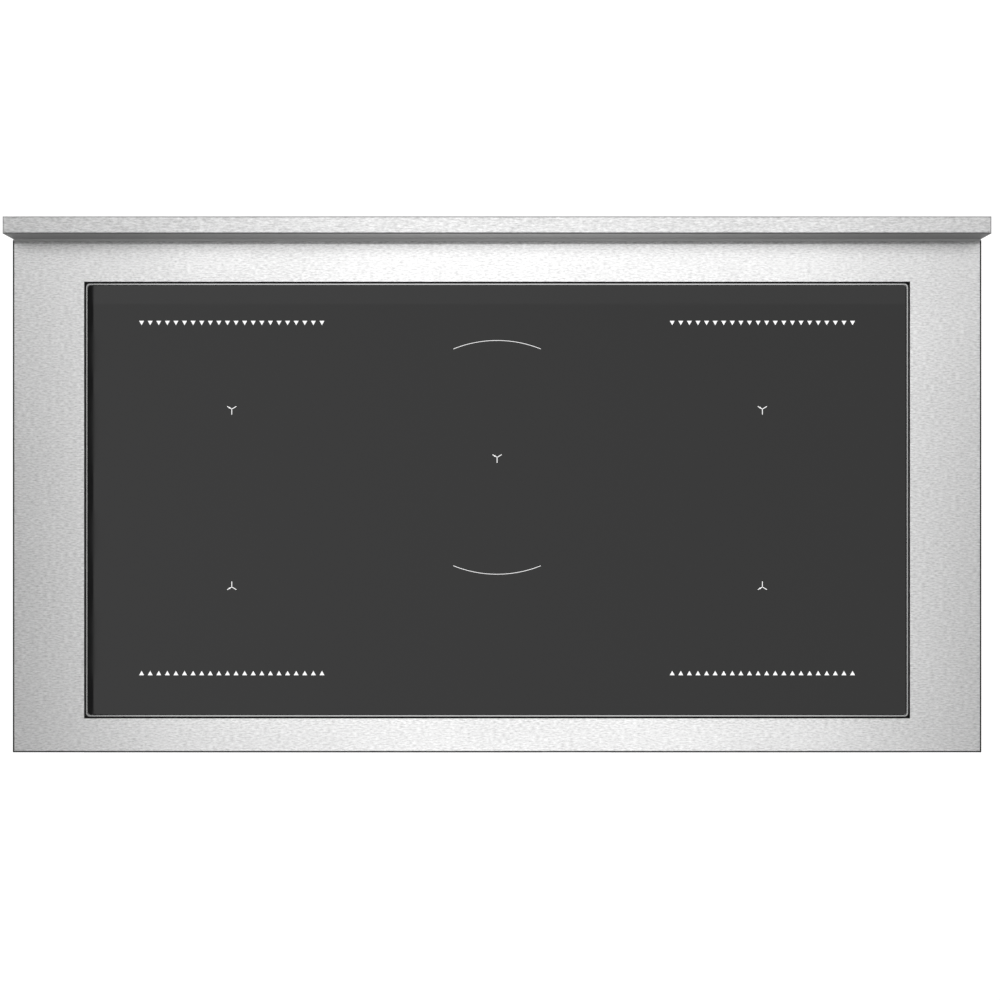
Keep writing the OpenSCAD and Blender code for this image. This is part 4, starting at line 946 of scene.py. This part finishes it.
def oven_symbol(bm, place, centre, parts):
    """The usual sign of an oven programme: which of its heaters, fan or lamp is on."""
    x, y = centre
    if "lamp" in parts:
        half, drop = BULB_BASE
        sector(bm, moved(place, x, y + BULB_RAISED), BULB_RADIUS, SYMBOL_STROKE, 0, 360, 20)
        stroke(bm, place, (x - half, y - drop), (x + half, y - drop), SYMBOL_STROKE)
        return
    inner = SYMBOL_SIZE / 2 - SYMBOL_INSET
    outline_box(bm, place, centre, SYMBOL_SIZE, SYMBOL_SIZE)
    for part, side in (("top", 1), ("bottom", -1)):
        if part in parts:
            stroke(bm, place, (x - inner, y + side * inner), (x + inner, y + side * inner), SYMBOL_STROKE)
    if "grill" in parts:
        zigzag = [(x + inner * (2 * i / GRILL_BENDS - 1), y + inner - (i % 2) * GRILL_DROP)
                  for i in range(GRILL_BENDS + 1)]
        for a, b in zip(zigzag, zigzag[1:]):
            stroke(bm, place, a, b, GRILL_STROKE)
    if "fan" in parts:
        hub = moved(place, x, y - FAN_LOWERED)
        for start in (0, 90, 180, 270):
            sector(bm, hub, BLADE_RADIUS, BLADE_WIDTH, start, start + BLADE_ANGLE, 4)


def dial_marks(black):
    """Numbers, ticks and signs on the control panel."""
    bm = bmesh.new()
    for zone, node in enumerate(HOB_KNOBS):
        place = knob_place(node)
        ticks(bm, place, [HOB_STEP * i for i in range(HOB_LEVELS)])
        for i in range(HOB_LEVELS):
            lettering(bm, place, str(i), DIGIT_SIZE, at_angle(DIAL_RADIUS, HOB_STEP * i))
        zone_symbol(bm, place, at_angle(DIAL_RADIUS, ZONE_SYMBOL_ANGLE), zone)
    for node in OVEN_KNOBS:
        place = knob_place(node)
        if node == "knob_main_function":
            ticks(bm, place, [OVEN_STEP * i for i in range(len(OVEN_SYMBOLS) + 1)])
            lettering(bm, place, "0", DIGIT_SIZE, at_angle(DIAL_RADIUS, 0))
            for i, parts in enumerate(OVEN_SYMBOLS, 1):
                oven_symbol(bm, place, at_angle(OVEN_SYMBOL_RADIUS, OVEN_STEP * i), parts)
        else:
            # A thermostat knob turns by one degree for each degree of heat.
            ticks(bm, place, range(0, HOTTEST + 1, HEAT_PER_TICK))
            lettering(bm, place, "0", DIGIT_SIZE, at_angle(DIAL_RADIUS, 0))
            for degrees in range(HEAT_PER_NUMBER, HOTTEST + 1, HEAT_PER_NUMBER):
                lettering(bm, place, str(degrees), DEGREES_SIZE, at_angle(DIAL_RADIUS, degrees))
    piece("dial_marks", "cabinet", black, bm)


def knob_pointers(black):
    """The inlay in each knob's pointer groove."""
    for node in HOB_KNOBS + OVEN_KNOBS:
        low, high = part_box(node)
        place = facing_front((low.x + high.x) / 2, low.y + POINTER_DEPTH, (low.z + high.z) / 2)
        bm = bmesh.new()
        start, end = POINTER_SPAN
        stroke(bm, place, (0, start), (0, end), POINTER_WIDTH, POINTER_THICKNESS)
        piece(node + "_pointer", node, black, bm)


def seven_segments(bm, place, digit):
    """One digit of bars. The bars are named as usual, a on top and then clockwise, g in the middle."""
    x, y, gap = DIGIT_WIDTH / 2, DIGIT_HEIGHT / 2, DIGIT_GAP
    ends = {
        "a": ((-x + gap, y), (x - gap, y)),
        "b": ((x, y - gap), (x, gap)),
        "c": ((x, -gap), (x, gap - y)),
        "d": ((-x + gap, -y), (x - gap, -y)),
        "e": ((-x, -gap), (-x, gap - y)),
        "f": ((-x, y - gap), (-x, gap)),
        "g": ((-x + gap, 0), (x - gap, 0)),
    }
    for bar in SEGMENTS[digit]:
        stroke(bm, place, *ends[bar], DIGIT_BAR)


def clock_digits(lit):
    """A glowing time, and under it the touch fields minus, clock and plus."""
    low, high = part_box("clock_display")
    middle = facing_front((low.x + high.x) / 2, low.y, (low.z + high.z) / 2)
    time = moved(middle, up=TIME_RAISED)
    fields = moved(middle, up=-FIELDS_LOWERED)
    bm = bmesh.new()
    for digit, slot in zip(CLOCK_TIME, DIGIT_SLOTS):
        seven_segments(bm, moved(time, slot * DIGIT_PITCH), digit)
    for v in (-1, 1):
        disc(bm, time, (0, v * COLON_RAISED), COLON_DOT, steps=12)
    for x in (-FIELD_X, FIELD_X):
        stroke(bm, fields, (x - FIELD_REACH, 0), (x + FIELD_REACH, 0), SIGN_STROKE)
    stroke(bm, fields, (FIELD_X, -FIELD_REACH), (FIELD_X, FIELD_REACH), SIGN_STROKE)
    sector(bm, fields, FIELD_REACH, CLOCK_STROKE, 0, 360)
    for hand in CLOCK_HANDS:
        stroke(bm, fields, (0, 0), hand, CLOCK_STROKE)
    piece("clock_digits", "cabinet", lit, bm)


# The doors

def window_prints(black):
    """The black border printed behind each door's front glass, fading out in dots."""
    for door, width in WINDOW_WIDTHS.items():
        low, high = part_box(door + "_glass")
        place = facing_front((low.x + high.x) / 2, low.y + PANE_THICKNESS + 2 * INK_THICKNESS, WINDOW_Z)
        bm = bmesh.new()
        outer = rounded_outline(width + 2 * PRINT_OVERLAP, WINDOW_HEIGHT + 2 * PRINT_OVERLAP,
                                WINDOW_CORNER + PRINT_OVERLAP)
        inner = rounded_outline(width - 2 * PRINT_BORDER, WINDOW_HEIGHT - 2 * PRINT_BORDER, WINDOW_CORNER)
        ring(bm, place, outer, inner, INK_THICKNESS)
        for row, radius in enumerate(PRINT_DOTS):
            inset = PRINT_BORDER + (row + PRINT_FIRST_ROW) * PRINT_DOT_PITCH
            half_w, half_h = width / 2 - inset, WINDOW_HEIGHT / 2 - inset
            across, up = round(2 * half_w / PRINT_DOT_PITCH), round(2 * half_h / PRINT_DOT_PITCH)
            spots = [(half_w * (2 * i / across - 1), side * half_h)
                     for i in range(across + 1) for side in (-1, 1)]
            spots += [(side * half_w, half_h * (2 * i / up - 1)) for i in range(1, up) for side in (-1, 1)]
            for spot in spots:
                disc(bm, place, spot, radius, steps=10)
        piece(door + "_window_print", door, black, bm)


# Screws

def screws(name, places, radius, metal, black):
    """Pan-head screws with a cross recess."""
    heads = bmesh.new()
    crosses = bmesh.new()
    height = radius * SCREW_HEIGHT
    profile = [(radius * across, height * out) for across, out in SCREW_PROFILE]
    for place in places:
        lathe(heads, place, profile)
        for x, y in ((radius / 2, 0), (0, radius / 2)):
            stroke(crosses, moved(place, out=height), (-x, -y), (x, y), radius * SCREW_SLOT)
    piece(name, "cabinet", metal, heads, smooth=True)
    piece(name + "_crosses", "cabinet", black, crosses)


def spread(start, end, count):
    """Evenly spaced values from start to end."""
    return [start + (end - start) * i / (count - 1) for i in range(count)]


def corner_places(node, inset, rear=False):
    """Places near the four corners of a node's front or rear."""
    low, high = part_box(node)
    facing, y = (facing_back, high.y) if rear else (facing_front, low.y)
    return [facing(x, y, z) for x in (low.x + inset, high.x - inset)
            for z in (low.z + inset, high.z - inset)]


def cabinet_screws(metal, black):
    """Screws of the back, terminal cover, side panels, plinth and fan cover."""
    inset = SCREW_INSET
    low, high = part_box("back_panel")
    places = [facing_back(x, high.y, z) for x in (low.x + inset, high.x - inset)
              for z in spread(low.z + inset, high.z - inset, BACK_SCREWS_UP)]
    between = spread(low.x + inset, high.x - inset, BACK_SCREWS_ACROSS)[1:-1]
    places += [facing_back(x, high.y, z) for x in between for z in (low.z + inset, high.z - inset)]
    places += corner_places("terminal_box", COVER_SCREW_INSET, rear=True)
    screws("back_screws", places, SHEET_SCREW, metal, black)

    places = []
    for way, node in ((-1, "side_panel_left"), (1, "side_panel_right")):
        low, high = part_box(node)
        face = low.x if way < 0 else high.x
        places += [facing_side(face, high.y - inset, z, way)
                   for z in spread(low.z + SIDE_SCREW_BOTTOM, high.z - SIDE_SCREW_TOP, SIDE_SCREWS)]
    screws("side_screws", places, SHEET_SCREW, metal, black)

    low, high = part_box("plinth")
    places = [facing_front(x * PLINTH_SCREW_SHARE, low.y, (low.z + high.z) / 2) for x in (low.x, high.x)]
    screws("plinth_screws", places, PAN_SCREW, metal, black)

    screws("fan_cover_screws", corner_places("fan_cover", inset), PAN_SCREW, metal, black)


make_camera()
make_studio()
finishes = make_finishes()
dress_nodes(finishes)
prints = make_prints()
hob_marks(prints["zone_ink"])
dial_marks(prints["dial_ink"])
knob_pointers(prints["dial_ink"])
clock_digits(prints["clock_light"])
window_prints(prints["window_print"])
cabinet_screws(finishes["zinc_plate"], prints["dial_ink"])
rear_seam(prints["ground_weld_painted_shade"])
